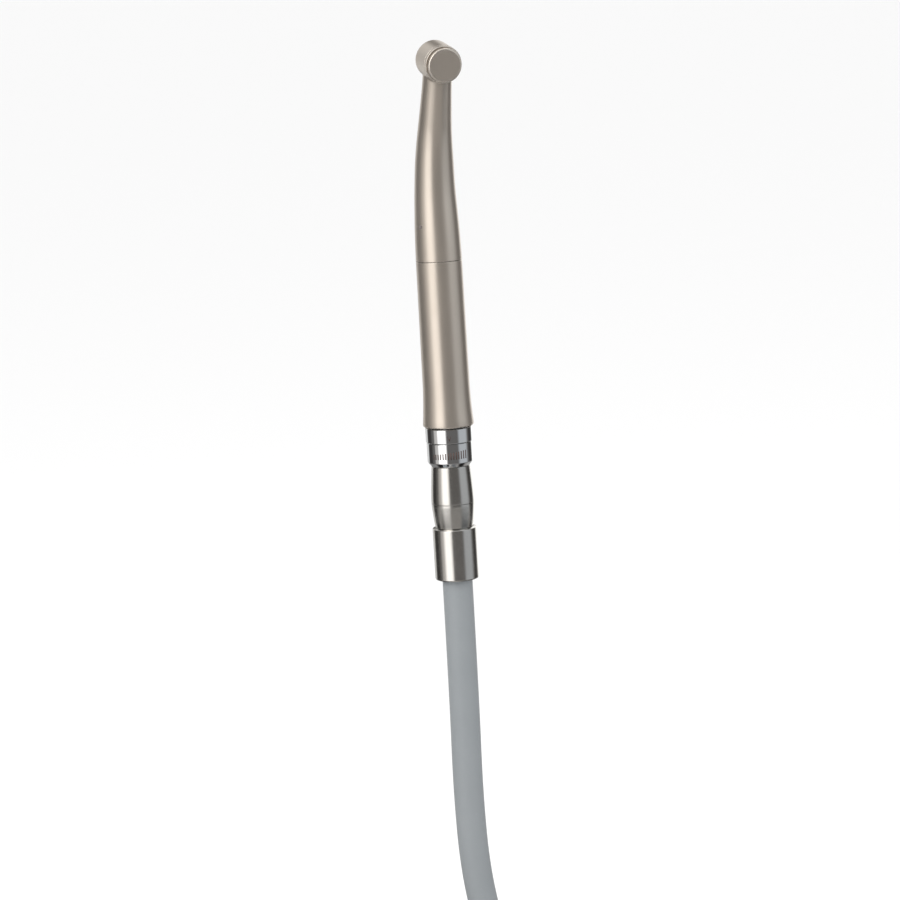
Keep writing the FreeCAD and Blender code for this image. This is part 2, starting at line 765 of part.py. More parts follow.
def coupling_covers():
    """The bright collar and regulator ring, and the satin sleeve, band and nut below them."""
    collar_ends = "regulator_top + 0.05", "collar_top"
    collar = ring("coupling_collar", "nose_radius", "collar_radius", *collar_ends, "0.3")
    keep(collar, "coupling_collar")
    regulator = turned(
        "water_regulator",
        [
            ("nose_radius + 0.05", "0.03"),
            ("waist_radius - 0.1", "0.03"),
            ("regulator_radius - 0.1", "shoulder - 0.1"),
            ("regulator_radius", "shoulder + 0.1"),
            ("regulator_radius", "regulator_top - 0.2"),
            ("regulator_radius - 0.2", "regulator_top"),
            ("nose_radius + 0.05", "regulator_top"),
        ],
    )
    keep(regulator, "water_regulator")
    sleeve = turned(
        "rear_sleeve",
        [
            ("nose_radius", "-sleeve_length + 0.05"),
            ("hip_radius - 0.15", "-sleeve_length + 0.05"),
            ("hip_radius", "-sleeve_length + 0.2"),
            ("waist_radius", "-0.2", "60"),
            ("waist_radius - 0.2", "0"),
            ("nose_radius", "0"),
        ],
    )
    keep(sleeve, "rear_sleeve")
    lock_low = "-sleeve_length - lock_length"
    lock = turned(
        "sleeve_lock_ring",
        [
            ("nose_radius", lock_low),
            ("waist_radius - 0.2", lock_low),
            ("hip_radius", "-sleeve_length - 0.2", "-30"),
            ("hip_radius - 0.2", "-sleeve_length"),
            ("nose_radius", "-sleeve_length"),
        ],
    )
    keep(lock, "sleeve_lock_ring")
    nut = turned(
        "hose_nut",
        [
            ("hose_radius + 0.15", "-nut_bottom"),
            ("nut_radius - 0.7", "-nut_bottom"),
            ("nut_radius", "-nut_bottom + 0.7"),
            ("nut_radius", f"{lock_low} - 0.5"),
            ("nut_radius - 0.4", f"{lock_low} - 0.1"),
            ("nose_radius + 0.05", f"{lock_low} - 0.1"),
            ("nose_radius + 0.05", "-nut_bottom + 1"),
            ("hose_radius + 0.15", "-nut_bottom + 1"),
        ],
    )
    keep(nut, "hose_nut")


def hose_end():
    """What the nut clamps: the four-hole gasket, the connector disc with its pipes, and the ferrule."""
    gasket = ring("hose_gasket", "0", "nose_radius - 0.1", "-tail_bottom - 1", "-tail_bottom")
    cut_pocket(gasket, "XY_Plane", [hole for _, *hole in CHANNELS], symmetric=True)
    keep(gasket, "hose_gasket")
    disc = ring("hose_connector", "0", "nose_radius - 0.05", "-tail_bottom - 4", "-tail_bottom - 1")
    clear = [(x, y, f"{radius} + 0.01") for _, x, y, radius in CHANNELS]
    cut_pocket(disc, "XY_Plane", clear, symmetric=True)
    keep(disc, "hose_connector")
    for name, x, y, radius in CHANNELS:
        ends = "-hose_top + 0.1", "-tail_bottom - 1.2"
        pipe = ring(f"hose_pipe_{name}", f"{radius} - {PIPE_WALL}", radius, *ends)
        keep(place(pipe, x, y), f"hose_pipe_{name}")
    ends = "-hose_top", "-tail_bottom - 4.05"
    keep(ring("hose_ferrule", "nose_radius - 0.8", "nose_radius", *ends, "0.2"), "hose_ferrule")


def check_valve():
    """The non-return valve in the water channel: seat, poppet and spring."""
    low = "-tail_bottom"
    keep(place(ring("valve_seat", "0.45", "0.94", low, f"{low} + 1.6"), "3.2"), "valve_seat")
    poppet = turned(
        "valve_poppet",
        [
            ("0", f"{low} + 1.45"),
            ("0.3", f"{low} + 1.45"),
            ("0.82", f"{low} + 2"),
            ("0.82", f"{low} + 3.2"),
            ("0.3", f"{low} + 3.2"),
            ("0.3", f"{low} + 5"),
            ("0", f"{low} + 5"),
        ],
    )
    keep(place(poppet, "3.2"), "valve_poppet")
    spring = disc_spring("valve_spring", "0.4", "0.88", f"{low} + 3.22", f"{low} + 7.95", 8)
    keep(place(spring, "3.2"), "valve_spring")


# The hose: it hangs almost straight, swings aside, and is tied up in a coil.

HOSE_ROUTE = (
    (0.0, -36.8),
    (0.0, -78.0),
    (0.5, -112.0),
    (2.4, -141.0),
    (6.8, -165.0),
    (13.2, -185.0),
    (19.2, -203.0),
    (22.0, -225.0),
)
# How far round the coil each strap is, in degrees.
STRAP_PLACES = (95, 250)


def cord_tube(label, points):
    """A round tube along straight runs joined by arcs as large as the runs allow."""
    radius = value("hose_radius")
    edges, start, turns = [], points[0], []
    for before, corner, after in zip(points, points[1:], points[2:]):
        arriving, leaving = corner - before, after - corner
        shorter = min(arriving.Length, leaving.Length)
        half_turn = math.tan(arriving.getAngle(leaving) / 2)
        turns.append(0.45 * shorter / half_turn)
        arriving.normalize()
        leaving.normalize()
        first, last = corner - arriving * 0.45 * shorter, corner + leaving * 0.45 * shorter
        inward = (leaving - arriving).normalize()
        reach = math.hypot(turns[-1], 0.45 * shorter) - turns[-1]
        edges.append(Part.LineSegment(start, first).toShape())
        edges.append(Part.Arc(first, corner + inward * reach, last).toShape())
        start = last
    edges.append(Part.LineSegment(start, points[-1]).toShape())
    path = Part.Wire(edges)
    heading = points[1] - points[0]
    section = Part.Wire(Part.Circle(points[0], heading, radius).toShape())
    tube = doc.addObject("Part::Feature", label)
    tube.Shape = path.makePipeShell([section], True, True)
    keep(tube, label)
    print(f"{label}: length {path.Length:.1f} mm, radii", [round(turn) for turn in turns])
    fullness = tube.Shape.Volume / (math.pi * radius**2 * path.Length)
    print(f"{label}: volume over section times length {fullness:.4f}")
    return path.Length


def hose():
    """The hanging hose, its coil with two straps, and the short end past the coil."""
    length = cord_tube("hose", [FreeCAD.Vector(x, 0, z) for x, z in HOSE_ROUTE])
    pitch = "(2 * hose_radius + coil_gap)"
    half = "hose_radius + coil_gap"
    wide = f"coil_turns * {pitch} + hose_radius"
    centre = ("coil_centre_x", "0", "coil_centre_z")
    inside = f"coil_radius - {half}", f"coil_radius + {half}", "-hose_radius", wide
    coil = turned("hose_coil", strap_loop(*inside, "hose_radius"))
    keep(place(coil, *centre, "-90"), "hose_coil")
    grown = [f"{number} {way} strap_thickness" for number, way in zip(inside, "-+-+")]
    width = "strap_width / coil_radius * 180 / pi"
    tilt = FreeCAD.Rotation(FreeCAD.Vector(1, 0, 0), -90)
    for number, around in enumerate(STRAP_PLACES, start=1):
        outer_loop = strap_loop(*grown, "hose_radius + strap_thickness")
        strap = turned(f"coil_strap_{number}", outer_loop, strap_loop(*inside, "hose_radius"), angle=width)
        spin = FreeCAD.Rotation(FreeCAD.Vector(0, -1, 0), around)
        place(strap, *centre)
        strap.setExpression("Placement.Rotation.Angle", None)
        strap.Placement.Rotation = spin * tilt
        keep(strap, f"coil_strap_{number}")
    turns_length = value("coil_turns * sqrt((2 * pi * coil_radius)^2 + (2 * hose_radius + coil_gap)^2)")
    tail = value("tail_length")
    print(f"hose_coil: length {turns_length:.1f} mm")
    end_x, end_y = value("coil_centre_x + coil_radius"), value(f"coil_turns * {pitch}")
    end_piece = doc.addObject("Part::Cylinder", "hose_end")
    bind(end_piece, "Radius", "hose_radius")
    bind(end_piece, "Height", "tail_length")
    place(end_piece, "coil_centre_x + coil_radius", f"coil_turns * {pitch}", "coil_centre_z - tail_length")
    keep(end_piece, "hose_end")
    print(f"whole hose: {length + turns_length + tail:.1f} mm, free end at x {end_x:.1f}, y {end_y:.1f}")


def strap_loop(inner, outer, low, high, corner):
    """A rounded rectangle, as an outline of (radius, height) corners."""
    bend = f"({corner}) * 0.9"
    return [
        (f"{inner} + {bend}", low, bend),
        (f"{outer} - {bend}", low),
        (outer, f"{low} + {bend}", bend),
        (outer, f"{high} - {bend}"),
        (f"{outer} - {bend}", high, bend),
        (f"{inner} + {bend}", high),
        (inner, f"{high} - {bend}", bend),
        (inner, f"{low} + {bend}"),
    ]


def unit_connector():
    """The plug at the far end: a ferrule, a union nut and the four-pipe face."""
    x, y = "coil_centre_x + coil_radius", "coil_turns * (2 * hose_radius + coil_gap)"
    top = "coil_centre_z - tail_length"
    collar = ring("unit_ferrule", "0", "hose_radius + 0.6", f"{top} - 9", top, "0.6")
    keep(place(collar, x, y), "unit_ferrule")
    face = ring("unit_face", "0", "hose_radius + 0.2", f"{top} - 22", f"{top} - 9.05")
    keep(place(face, x, y), "unit_face")
    pipes = []
    for name, across, up, radius in CHANNELS:
        pipe = ring(f"unit_pipe_{name}", f"{radius} - {PIPE_WALL}", radius, f"{top} - 28", f"{top} - 22.02")
        pipes.append(place(pipe, f"{x} + {across}", f"{y} + {up}"))
    joined = doc.addObject("Part::Compound", "unit_pipe_set")
    joined.Links = pipes
    keep(joined, "unit_pipes")
    nut = ring("unit_nut", "hose_radius + 0.25", "hose_radius + 1.8", f"{top} - 26", f"{top} - 10", "0.5")
    cut_pocket(nut, "XY_Plane", [("hose_radius + 2.2", "0", "0.8")], count=12, symmetric=True)
    keep(place(nut, x, y), "unit_nut")


def write_pieces():
    """Check every object and every piece, then write one STEP file for each."""
    doc.recompute()
    for thing in doc.Objects:
        if {"Invalid", "Error"} & set(thing.State):
            raise RuntimeError(f"{thing.Name} did not recompute: {thing.State}")
    for piece in pieces:
        if piece.Shape.isNull() or not piece.Shape.isValid() or piece.Shape.Volume <= 0:
            raise RuntimeError(piece.Label + " has no valid shape")
    os.makedirs("parts", exist_ok=True)
    for piece in pieces:
        piece.Shape.exportStep(f"parts/{piece.Label}.step")
    print(len(pieces), "pieces written")


front_shell()
handle()
for tube in INNER_TUBES:
    inner_tube(*tube)
keep(dot_cylinder("marking_dot", "0"), "marking_dot")
cap_and_button()
bearing("rear_bearing", "rear_bearing")
bearing("front_bearing", "front_bearing")
rotor()
coupling_core()
coupling_rings()
coupling_covers()
check_valve()
hose_end()
hose()
unit_connector()
write_pieces()
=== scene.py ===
# %% [markdown]
# # A high speed dental handpiece, in Blender
#
# The object is an air-turbine handpiece: a small head with a push button, an angled neck and a round
# handle in champagne satin metal, a quick coupling in chrome and satin steel, and a grey hose.
# The CAD model arrives as the fixed frame. This lesson keeps its inner pieces, gives each one a real
# finish, and makes finer skins for the pieces that are seen.

# %% Load the frame
import json
import math

import bmesh
import bpy
import numpy as np
from mathutils import Matrix, Vector


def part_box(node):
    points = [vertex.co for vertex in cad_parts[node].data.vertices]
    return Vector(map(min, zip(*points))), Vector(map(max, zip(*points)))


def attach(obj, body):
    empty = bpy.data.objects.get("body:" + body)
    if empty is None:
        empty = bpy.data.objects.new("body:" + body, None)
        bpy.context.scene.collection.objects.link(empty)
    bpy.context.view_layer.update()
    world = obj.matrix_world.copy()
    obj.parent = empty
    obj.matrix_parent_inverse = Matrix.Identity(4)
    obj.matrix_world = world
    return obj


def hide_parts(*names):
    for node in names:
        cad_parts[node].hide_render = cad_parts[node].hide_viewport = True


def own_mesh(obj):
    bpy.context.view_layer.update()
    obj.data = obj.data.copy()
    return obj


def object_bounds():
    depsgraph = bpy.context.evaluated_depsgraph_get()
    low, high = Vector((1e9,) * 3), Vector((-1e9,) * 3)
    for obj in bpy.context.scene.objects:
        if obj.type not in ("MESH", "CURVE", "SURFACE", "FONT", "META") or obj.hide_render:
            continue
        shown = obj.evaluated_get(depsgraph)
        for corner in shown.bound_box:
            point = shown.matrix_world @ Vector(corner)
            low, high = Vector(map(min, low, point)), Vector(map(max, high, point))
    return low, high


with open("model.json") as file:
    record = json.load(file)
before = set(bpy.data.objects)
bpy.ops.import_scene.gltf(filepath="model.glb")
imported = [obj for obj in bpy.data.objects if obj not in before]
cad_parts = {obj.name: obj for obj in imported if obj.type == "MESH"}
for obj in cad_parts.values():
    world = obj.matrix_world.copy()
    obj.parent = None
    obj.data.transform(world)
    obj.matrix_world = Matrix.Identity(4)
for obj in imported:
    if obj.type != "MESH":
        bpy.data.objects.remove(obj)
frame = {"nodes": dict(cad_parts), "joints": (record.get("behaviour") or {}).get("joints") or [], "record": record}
CAD_BOX = [list(corner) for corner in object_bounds()]
JOINTS = {joint["name"]: joint for joint in frame["joints"]}
MM = 0.001
print("CAD box", CAD_BOX)

# %% [markdown]
# ## The camera
#
# The camera comes first, because the hose has to be put away outside its view. It stands a little to
# the left of the push button's side and a little above, and it is rolled, because the handpiece leans
# in its holder. A long lens keeps the handle's sides straight.

# %% Place the camera
CAMERA_AZIMUTH = math.radians(-17.5)
CAMERA_HEIGHT = math.radians(9.6)
CAMERA_ROLL = math.radians(-3.33)
CAMERA_DISTANCE = 1.17
CAMERA_TARGET = Vector((0, 0, 5 * MM))
LENS = 142.2


def camera_direction():
    """The way from the target to the camera."""
    level = math.cos(CAMERA_HEIGHT)
    return Vector(
        (
            math.sin(CAMERA_AZIMUTH) * level,
            -math.cos(CAMERA_AZIMUTH) * level,
            math.sin(CAMERA_HEIGHT),
        )
    )


camera = bpy.data.objects.new("camera", bpy.data.cameras.new("camera"))
bpy.context.scene.collection.objects.link(camera)
camera.data.lens = LENS
camera.data.sensor_width = 36
camera.data.clip_start = 0.01
camera.data.clip_end = 100
aim = (-camera_direction()).to_track_quat("-Z", "Y").to_matrix().to_4x4()
camera.matrix_world = (
    Matrix.Translation(CAMERA_TARGET + camera_direction() * CAMERA_DISTANCE)
    @ aim
    @ Matrix.Rotation(CAMERA_ROLL, 4, "Z")
)
bpy.context.scene.camera = camera
print("camera at", [round(x, 3) for x in camera.matrix_world.translation])

# %% [markdown]
# ## The hose
#
# The real hose is 1.5 m of silicone tube, 10 mm thick, with four channels. It leaves the nut straight
# down, swings aside and is put away in a tied coil. A NURBS curve through a few given points
# bends as a hose does, and the coil's turns are more points of the same curve, worked out by a loop.

# %% Lay the hose
HOSE_RADIUS = 5 * MM
COIL_CENTRE = Vector((-28, 0, -225)) * MM
COIL_RADIUS = 50 * MM
COIL_TURNS = 4
COIL_PITCH = 10.2 * MM
TURN_POINTS = 16
COIL_DEPTH = COIL_PITCH * COIL_TURNS
TAIL = 36 * MM
# How much of a corner the curve cuts off between two of its control points.
CORNER_CUT = 0.95
HANGING = (
    (0.0, -36.8),
    (0.0, -78.0),
    (-0.6, -112.0),
    (0.6, -141.0),
    (5.8, -166.0),
    (13.0, -186.0),
    (19.2, -203.0),
)


def hose_points():
    """The hose's control points: the hanging part, the coil's turns and the short end."""
    points = [Vector((x * MM, 0, z * MM)) for x, z in HANGING]
    # Control points of a curve cut their corners, so they stand a little outside the turns.
    outside = COIL_RADIUS / (1 - (1 - math.cos(math.pi / TURN_POINTS)) * CORNER_CUT)
    for step in range(COIL_TURNS * TURN_POINTS + 1):
        angle = 2 * math.pi * step / TURN_POINTS
        side = Vector((math.cos(angle), 0, -math.sin(angle)))
        point = COIL_CENTRE + side * outside
        point.y = COIL_PITCH * step / TURN_POINTS
        points.append(point)
    end = COIL_CENTRE + Vector((COIL_RADIUS, COIL_DEPTH, 0))
    points.append(end - Vector((0, 0, TAIL * 0.5)))
    points.append(end - Vector((0, 0, TAIL)))
    return points


def make_hose():
    """One open NURBS spline with a round section."""
    curve = bpy.data.curves.new("silicone_hose", "CURVE")
    curve.dimensions = "3D"
    spline = curve.splines.new("NURBS")
    points = hose_points()
    spline.points.add(len(points) - 1)
    for spot, point in zip(spline.points, points):
        spot.co = (*point, 1)
    spline.order_u = 3
    spline.use_endpoint_u = True
    spline.resolution_u = 8
    curve.bevel_depth = HOSE_RADIUS
    curve.bevel_resolution = 12
    curve.use_fill_caps = True
    hose = bpy.data.objects.new("silicone_hose", curve)
    bpy.context.scene.collection.objects.link(hose)
    return hose


hose = make_hose()
print("hose points", len(hose.data.splines[0].points))

# %% [markdown]
# ## The room
#
# Polished metal shows what stands round it, so the room matters more than the lamps. The floor is
# plain and pale. A reflecting tent, which only shines into glossy surfaces, gives soft bright panels
# with dim gaps between them, as a product studio's soft boxes do.

# %% Shader maths


class Wire:
    """A socket that can be added to, subtracted from, multiplied and divided as a number is."""

    def __init__(self, tree, socket):
        self.tree = tree
        self.socket = socket

    def maths(self, operation, *others):
        sockets = [self, *others]
        return shader(self.tree, "ShaderNodeMath", {"operation": operation}, dict(enumerate(sockets)))

    def __add__(self, other):
        return self.maths("ADD", other)

    def __sub__(self, other):
        return self.maths("SUBTRACT", other)

    def __rsub__(self, other):
        return shader(self.tree, "ShaderNodeMath", {"operation": "SUBTRACT"}, {0: other, 1: self})

    def __mul__(self, other):
        return self.maths("MULTIPLY", other)

    def __truediv__(self, other):
        return self.maths("DIVIDE", other)

    __radd__ = __add__
    __rmul__ = __mul__


def shader(tree, kind, settings=None, inputs=None, output=0):
    """One node: its settings first, then its sockets' values or links. Gives one output."""
    node = tree.nodes.new(kind)
    for name, setting in (settings or {}).items():
        if name == "stops":
            set_stops(node.color_ramp, setting)
        else:
            setattr(node, name, setting)
    for name, given in (inputs or {}).items():
        if isinstance(given, Wire):
            tree.links.new(given.socket, node.inputs[name])
        else:
            node.inputs[name].default_value = given
    return Wire(tree, node.outputs[output])


def set_stops(ramp, stops):
    """Give a colour ramp its stops, each (position, colour)."""
    while len(ramp.elements) < len(stops):
        ramp.elements.new(1)
    for element, (position, colour) in zip(ramp.elements, stops):
        element.position = position
        element.color = (*colour, 1)


def mix_colours(tree, factor, first, second):
    """A blend of two colours, each (r, g, b) or a link."""
    given = {0: factor, 6: first, 7: second}
    for place in (6, 7):
        if not isinstance(given[place], Wire):
            given[place] = (*given[place], 1)
    settings = {"data_type": "RGBA", "blend_type": "MIX"}
    return shader(tree, "ShaderNodeMix", settings, given, 2)


def spread(tree, number, low, high):
    """A smooth step: 0 below low, 1 above high."""
    settings = {"interpolation_type": "SMOOTHSTEP"}
    return shader(tree, "ShaderNodeMapRange", settings, {0: number, 1: low, 2: high})


# %% Reflecting tent, floor and lamps
# Each panel: middle in degrees right of the camera, half width, soft edge, colour.
PANELS = (
    (-68, 11, 6, (0.56, 0.54, 0.52)),
    (-39, 19, 8, (1.66, 1.63, 1.60)),
    (70, 23, 9, (0.46, 0.48, 0.50)),
    (158, 14, 10, (1.3, 1.3, 1.28)),
    (-150, 12, 10, (0.75, 0.75, 0.74)),
    (-114, 12, 10, (0.045, 0.043, 0.042)),
    (118, 8, 8, (0.045, 0.043, 0.042)),
)
TENT_DIM = (0.132, 0.127, 0.123)
CARD_DIM = (0.97, 0.93, 0.89)
TENT_RADIUS = 0.9
TENT_HEIGHT = 2.2
# The tent stands this far above the floor, and the card half as far.
ABOVE_FLOOR = 10 * MM
CARD_STRENGTH = 0.30
FLOOR_SIZE = 80
FLOOR_DROP = 25 * MM
FLOOR_HEIGHT = CAD_BOX[0][2] - FLOOR_DROP


def panel_light(name, dim, strength):
    """Light in smooth bright panels, one after another round the vertical."""
    material = bpy.data.materials.new(name)
    material.use_nodes = True
    tree = material.node_tree
    tree.nodes.clear()
    place = shader(tree, "ShaderNodeTexCoord", output=3)
    flat = shader(tree, "ShaderNodeVectorMath", {"operation": "MULTIPLY"}, {0: place, 1: (1, 1, 0)})
    way = shader(tree, "ShaderNodeVectorMath", {"operation": "NORMALIZE"}, {0: flat})
    colour = dim
    for middle, half, soft, shine in PANELS:
        turn = CAMERA_AZIMUTH + math.radians(middle)
        towards = (math.sin(turn), -math.cos(turn), 0)
        nearness = shader(tree, "ShaderNodeVectorMath", {"operation": "DOT_PRODUCT"}, {0: way, 1: towards}, 1)
        low = math.cos(math.radians(half + soft))
        high = math.cos(math.radians(half - soft))
        colour = mix_colours(tree, spread(tree, nearness, low, high), colour, shine)
    light = shader(tree, "ShaderNodeEmission", inputs={"Color": colour, "Strength": strength})
    out = tree.nodes.new("ShaderNodeOutputMaterial")
    tree.links.new(light.socket, out.inputs[0])
    return material


def only_in_reflections(thing, material):
    """Give a piece of the studio its light, and hide it from everything but glossy surfaces."""
    thing.data.materials.append(material)
    thing.visible_camera = False
    thing.visible_diffuse = False
    thing.visible_shadow = False
    thing.visible_transmission = False
    return thing


def make_tent():
    """An open drum round the object."""
    bpy.ops.mesh.primitive_cylinder_add(
        vertices=96, radius=TENT_RADIUS, depth=TENT_HEIGHT, end_fill_type="NOTHING"
    )
    tent = bpy.context.object
    tent.name = "tent"
    tent.location.z = FLOOR_HEIGHT + TENT_HEIGHT / 2 + ABOVE_FLOOR
    return only_in_reflections(tent, panel_light("tent_light", TENT_DIM, 1.0))


def make_card():
    """A dimmer card on the floor, so that what faces down doesn't shine with the white floor."""
    bpy.ops.mesh.primitive_circle_add(vertices=96, radius=TENT_RADIUS, fill_type="NGON")
    card = bpy.context.object
    card.name = "floor_card"
    card.location.z = FLOOR_HEIGHT + ABOVE_FLOOR / 2
    return only_in_reflections(card, panel_light("card_light", CARD_DIM, CARD_STRENGTH))


def make_floor():
    """A plain pale floor that reaches past the picture's edge."""
    bpy.ops.mesh.primitive_plane_add(size=FLOOR_SIZE, location=(0, 0, FLOOR_HEIGHT))
    floor = bpy.context.object
    floor.name = "floor"
    material = bpy.data.materials.new("pale_floor")
    material.use_nodes = True
    principled = material.node_tree.nodes["Principled BSDF"]
    principled.inputs["Base Color"].default_value = (0.88, 0.88, 0.88, 1)
    principled.inputs["Roughness"].default_value = 0.9
    principled.inputs["Specular IOR Level"].default_value = 0.1
    floor.data.materials.append(material)
    return floor


def make_lamp(name, turn, height, distance, size, power, colour=(1, 1, 1)):
    """A square soft lamp at a turn from the camera's side, facing the handle."""
    lamp = bpy.data.objects.new(name, bpy.data.lights.new(name, "AREA"))
    bpy.context.scene.collection.objects.link(lamp)
    lamp.data.shape = "SQUARE"
    lamp.data.size = size
    lamp.data.energy = power
    lamp.data.color = colour
    lamp.data.specular_factor = 0.25
    way = CAMERA_AZIMUTH + math.radians(turn)
    level = math.cos(math.radians(height))
    spot = Vector((math.sin(way) * level, -math.cos(way) * level, math.sin(math.radians(height))))
    facing = spot.to_track_quat("Z", "Y").to_matrix().to_4x4()
    lamp.matrix_world = Matrix.Translation(spot * distance) @ facing
    lamp.visible_camera = False
    return lamp


def light_the_world():
    """Even pale light from the sky."""
    world = bpy.data.worlds.new("studio")
    bpy.context.scene.world = world
    world.use_nodes = True
    sky = world.node_tree.nodes["Background"]
    sky.inputs["Color"].default_value = (1, 1, 1, 1)
    sky.inputs["Strength"].default_value = 1.08


make_tent()
make_card()
make_floor()
make_lamp("key_lamp", -42, 38, 1.5, 0.8, 13, (1, 0.985, 0.96))
make_lamp("fill_lamp", 60, 25, 1.6, 1.0, 5, (0.96, 0.98, 1))
light_the_world()
bpy.context.scene.view_settings.view_transform = "Standard"

# %% [markdown]
# ## Finishes
#
# Each finish is one node tree. The metals share a pattern: a base tint, a slow drift in roughness from
# handling, a fine bump from the way the surface was worked, and brighter, smoother metal where an
# attribute called edge marks a rim that fingers and cloths have rubbed.

# %% Parts that the finishes share


def new_material(name, colour, roughness, metallic=0.0):
    """An empty material with a Principled shader, and its tree."""
    material = bpy.data.materials.new(name)
    material.use_nodes = True
    material.diffuse_color = (*colour, 1)
    principled = material.node_tree.nodes["Principled BSDF"]
    principled.inputs["Base Color"].default_value = (*colour, 1)
    principled.inputs["Roughness"].default_value = roughness
    principled.inputs["Metallic"].default_value = metallic
    return material, material.node_tree, principled


def here(tree):
    """The place on the object, in metres."""
    return shader(tree, "ShaderNodeTexCoord", output=3)


def stretched(tree, scale):
    """The place, scaled differently along each axis."""
    return shader(tree, "ShaderNodeMapping", inputs={"Vector": here(tree), "Scale": scale})


def grain(tree, place, scale, detail=2.0, roughness=0.5):
    """Smooth noise from 0 to 1."""
    given = {"Vector": place, "Scale": scale, "Detail": detail, "Roughness": roughness}
    return shader(tree, "ShaderNodeTexNoise", inputs=given)


def edge_wear(tree):
    """1 on a rubbed rim, 0 elsewhere."""
    return shader(tree, "ShaderNodeAttribute", {"attribute_name": "edge"}, output=2)


def link(tree, made, principled, name):
    """Feed one socket of the Principled shader."""
    tree.links.new(made.socket, principled.inputs[name])


def bump(tree, principled, height, strength, distance):
    """Raise the surface by a pattern."""
    given = {"Height": height, "Strength": strength, "Distance": distance}
    link(tree, shader(tree, "ShaderNodeBump", inputs=given), principled, "Normal")


# %% [markdown]
# ### The handle's metal
#
# The handle is blasted metal with a champagne coating. A rougher mirror would do from afar, but close
# up the blasting shows as a fine even grain, so noise feeds both the roughness and the bump.

# %% Champagne satin metal


def champagne_metal():
    """Blasted and coated metal: a soft sheen with a fine even grain."""
    tint, rubbed = (0.598, 0.536, 0.470), (0.75, 0.69, 0.62)
    material, tree, principled = new_material("champagne_metal", tint, 0.27, 0.86)
    fine = grain(tree, here(tree), 9000, 3)
    slow = grain(tree, here(tree), 90, 3, 0.6)
    wear = edge_wear(tree)
    worn_patch = spread(tree, slow, 0.35, 0.75)
    drift = mix_colours(tree, worn_patch * 0.35, tint, (0.570, 0.507, 0.440))
    link(tree, mix_colours(tree, wear * 0.75, drift, rubbed), principled, "Base Color")
    link(tree, 0.275 + worn_patch * 0.045 + fine * 0.03 - wear * 0.08, principled, "Roughness")
    bump(tree, principled, fine, 0.10, 0.00002)
    return material


# %% [markdown]
# ### Chrome and steels
#
# Chrome is nearly a mirror, and steel from a lathe keeps its tool's fine rings. Noise that is squeezed
# along Z makes both patterns, and it needs no coordinates of its own, since the parts that are seen
# stand upright.

# %% Chrome and steels


def bright_chrome():
    """Polished chrome with faint hairlines from wiping round the bands."""
    material, tree, principled = new_material("bright_chrome", (0.84, 0.85, 0.86), 0.05, 1.0)
    hairs = grain(tree, stretched(tree, (60, 60, 14000)), 1, 4, 0.7)
    smears = spread(tree, grain(tree, here(tree), 160, 3, 0.6), 0.45, 0.8)
    link(tree, 0.045 + smears * 0.07 + hairs * 0.02, principled, "Roughness")
    bump(tree, principled, hairs, 0.05, 0.00001)
    return material


def turned_steel(name, tint, roughness, lines, depth):
    """Steel turned on a lathe: fine rings round the axis catch the light."""
    material, tree, principled = new_material(name, tint, roughness, 1.0)
    rings = grain(tree, stretched(tree, (40, 40, lines)), 1, 5, 0.75)
    smears = spread(tree, grain(tree, here(tree), 130, 3, 0.6), 0.4, 0.8)
    wear = edge_wear(tree)
    darker = tuple(0.88 * part for part in tint)
    lighter = tuple(min(1.12 * part, 1) for part in tint)
    ringed = mix_colours(tree, rings * 0.4, tint, darker)
    link(tree, mix_colours(tree, wear * 0.6, ringed, lighter), principled, "Base Color")
    link(tree, roughness + smears * 0.05 + rings * 0.06 - wear * 0.04, principled, "Roughness")
    bump(tree, principled, rings, depth, 0.00002)
    return material


def spring_steel():
    """Dark hardened strip, with the straw tint of heat treatment in patches."""
    material, tree, principled = new_material("spring_steel", (0.38, 0.37, 0.36), 0.3, 1.0)
    patches = spread(tree, grain(tree, here(tree), 900, 3), 0.4, 0.7)
    straw = mix_colours(tree, patches * 0.5, (0.38, 0.38, 0.39), (0.42, 0.34, 0.24))
    link(tree, straw, principled, "Base Color")
    link(tree, 0.26 + patches * 0.1, principled, "Roughness")
    return material


# %% [markdown]
# ### Everything that isn't metal
#
# Silicone, rubber, resin, ceramic, enamel and tape differ in how they scatter light and in what settles
# on them, so each has its own small tree, with dust, bloom, threads or mottling.

# %% Silicone, rubber and plastics


def grey_silicone():
    """Extruded silicone: a satin skin with a fine bump, a slow cloudiness and a little dust."""
    tint = (0.212, 0.228, 0.239)
    material, tree, principled = new_material("grey_silicone", tint, 0.46)
    dust = spread(tree, grain(tree, here(tree), 1600, 4, 0.7), 0.60, 0.72)
    slow = grain(tree, here(tree), 70, 3, 0.6)
    skin = grain(tree, here(tree), 5200, 3, 0.6)
    cloudy = mix_colours(tree, slow, (0.203, 0.219, 0.230), (0.224, 0.240, 0.251))
    link(tree, mix_colours(tree, dust * 0.20, cloudy, (0.36, 0.37, 0.38)), principled, "Base Color")
    link(tree, 0.42 + slow * 0.08 + dust * 0.2, principled, "Roughness")
    principled.inputs["Specular IOR Level"].default_value = 0.42
    principled.inputs["Sheen Weight"].default_value = 0.08
    principled.inputs["Sheen Roughness"].default_value = 0.5
    bump(tree, principled, skin, 0.12, 0.00004)
    return material


def seal_rubber():
    """Black rubber with the dull bloom that O-rings get."""
    material, tree, principled = new_material("seal_rubber", (0.02, 0.02, 0.021), 0.5)
    bloom = spread(tree, grain(tree, here(tree), 1500, 4, 0.65), 0.45, 0.75)
    dull = mix_colours(tree, bloom * 0.35, (0.018, 0.018, 0.019), (0.065, 0.065, 0.068))
    link(tree, dull, principled, "Base Color")
    link(tree, 0.42 + bloom * 0.25, principled, "Roughness")
    bump(tree, principled, bloom, 0.1, 0.00003)
    return material


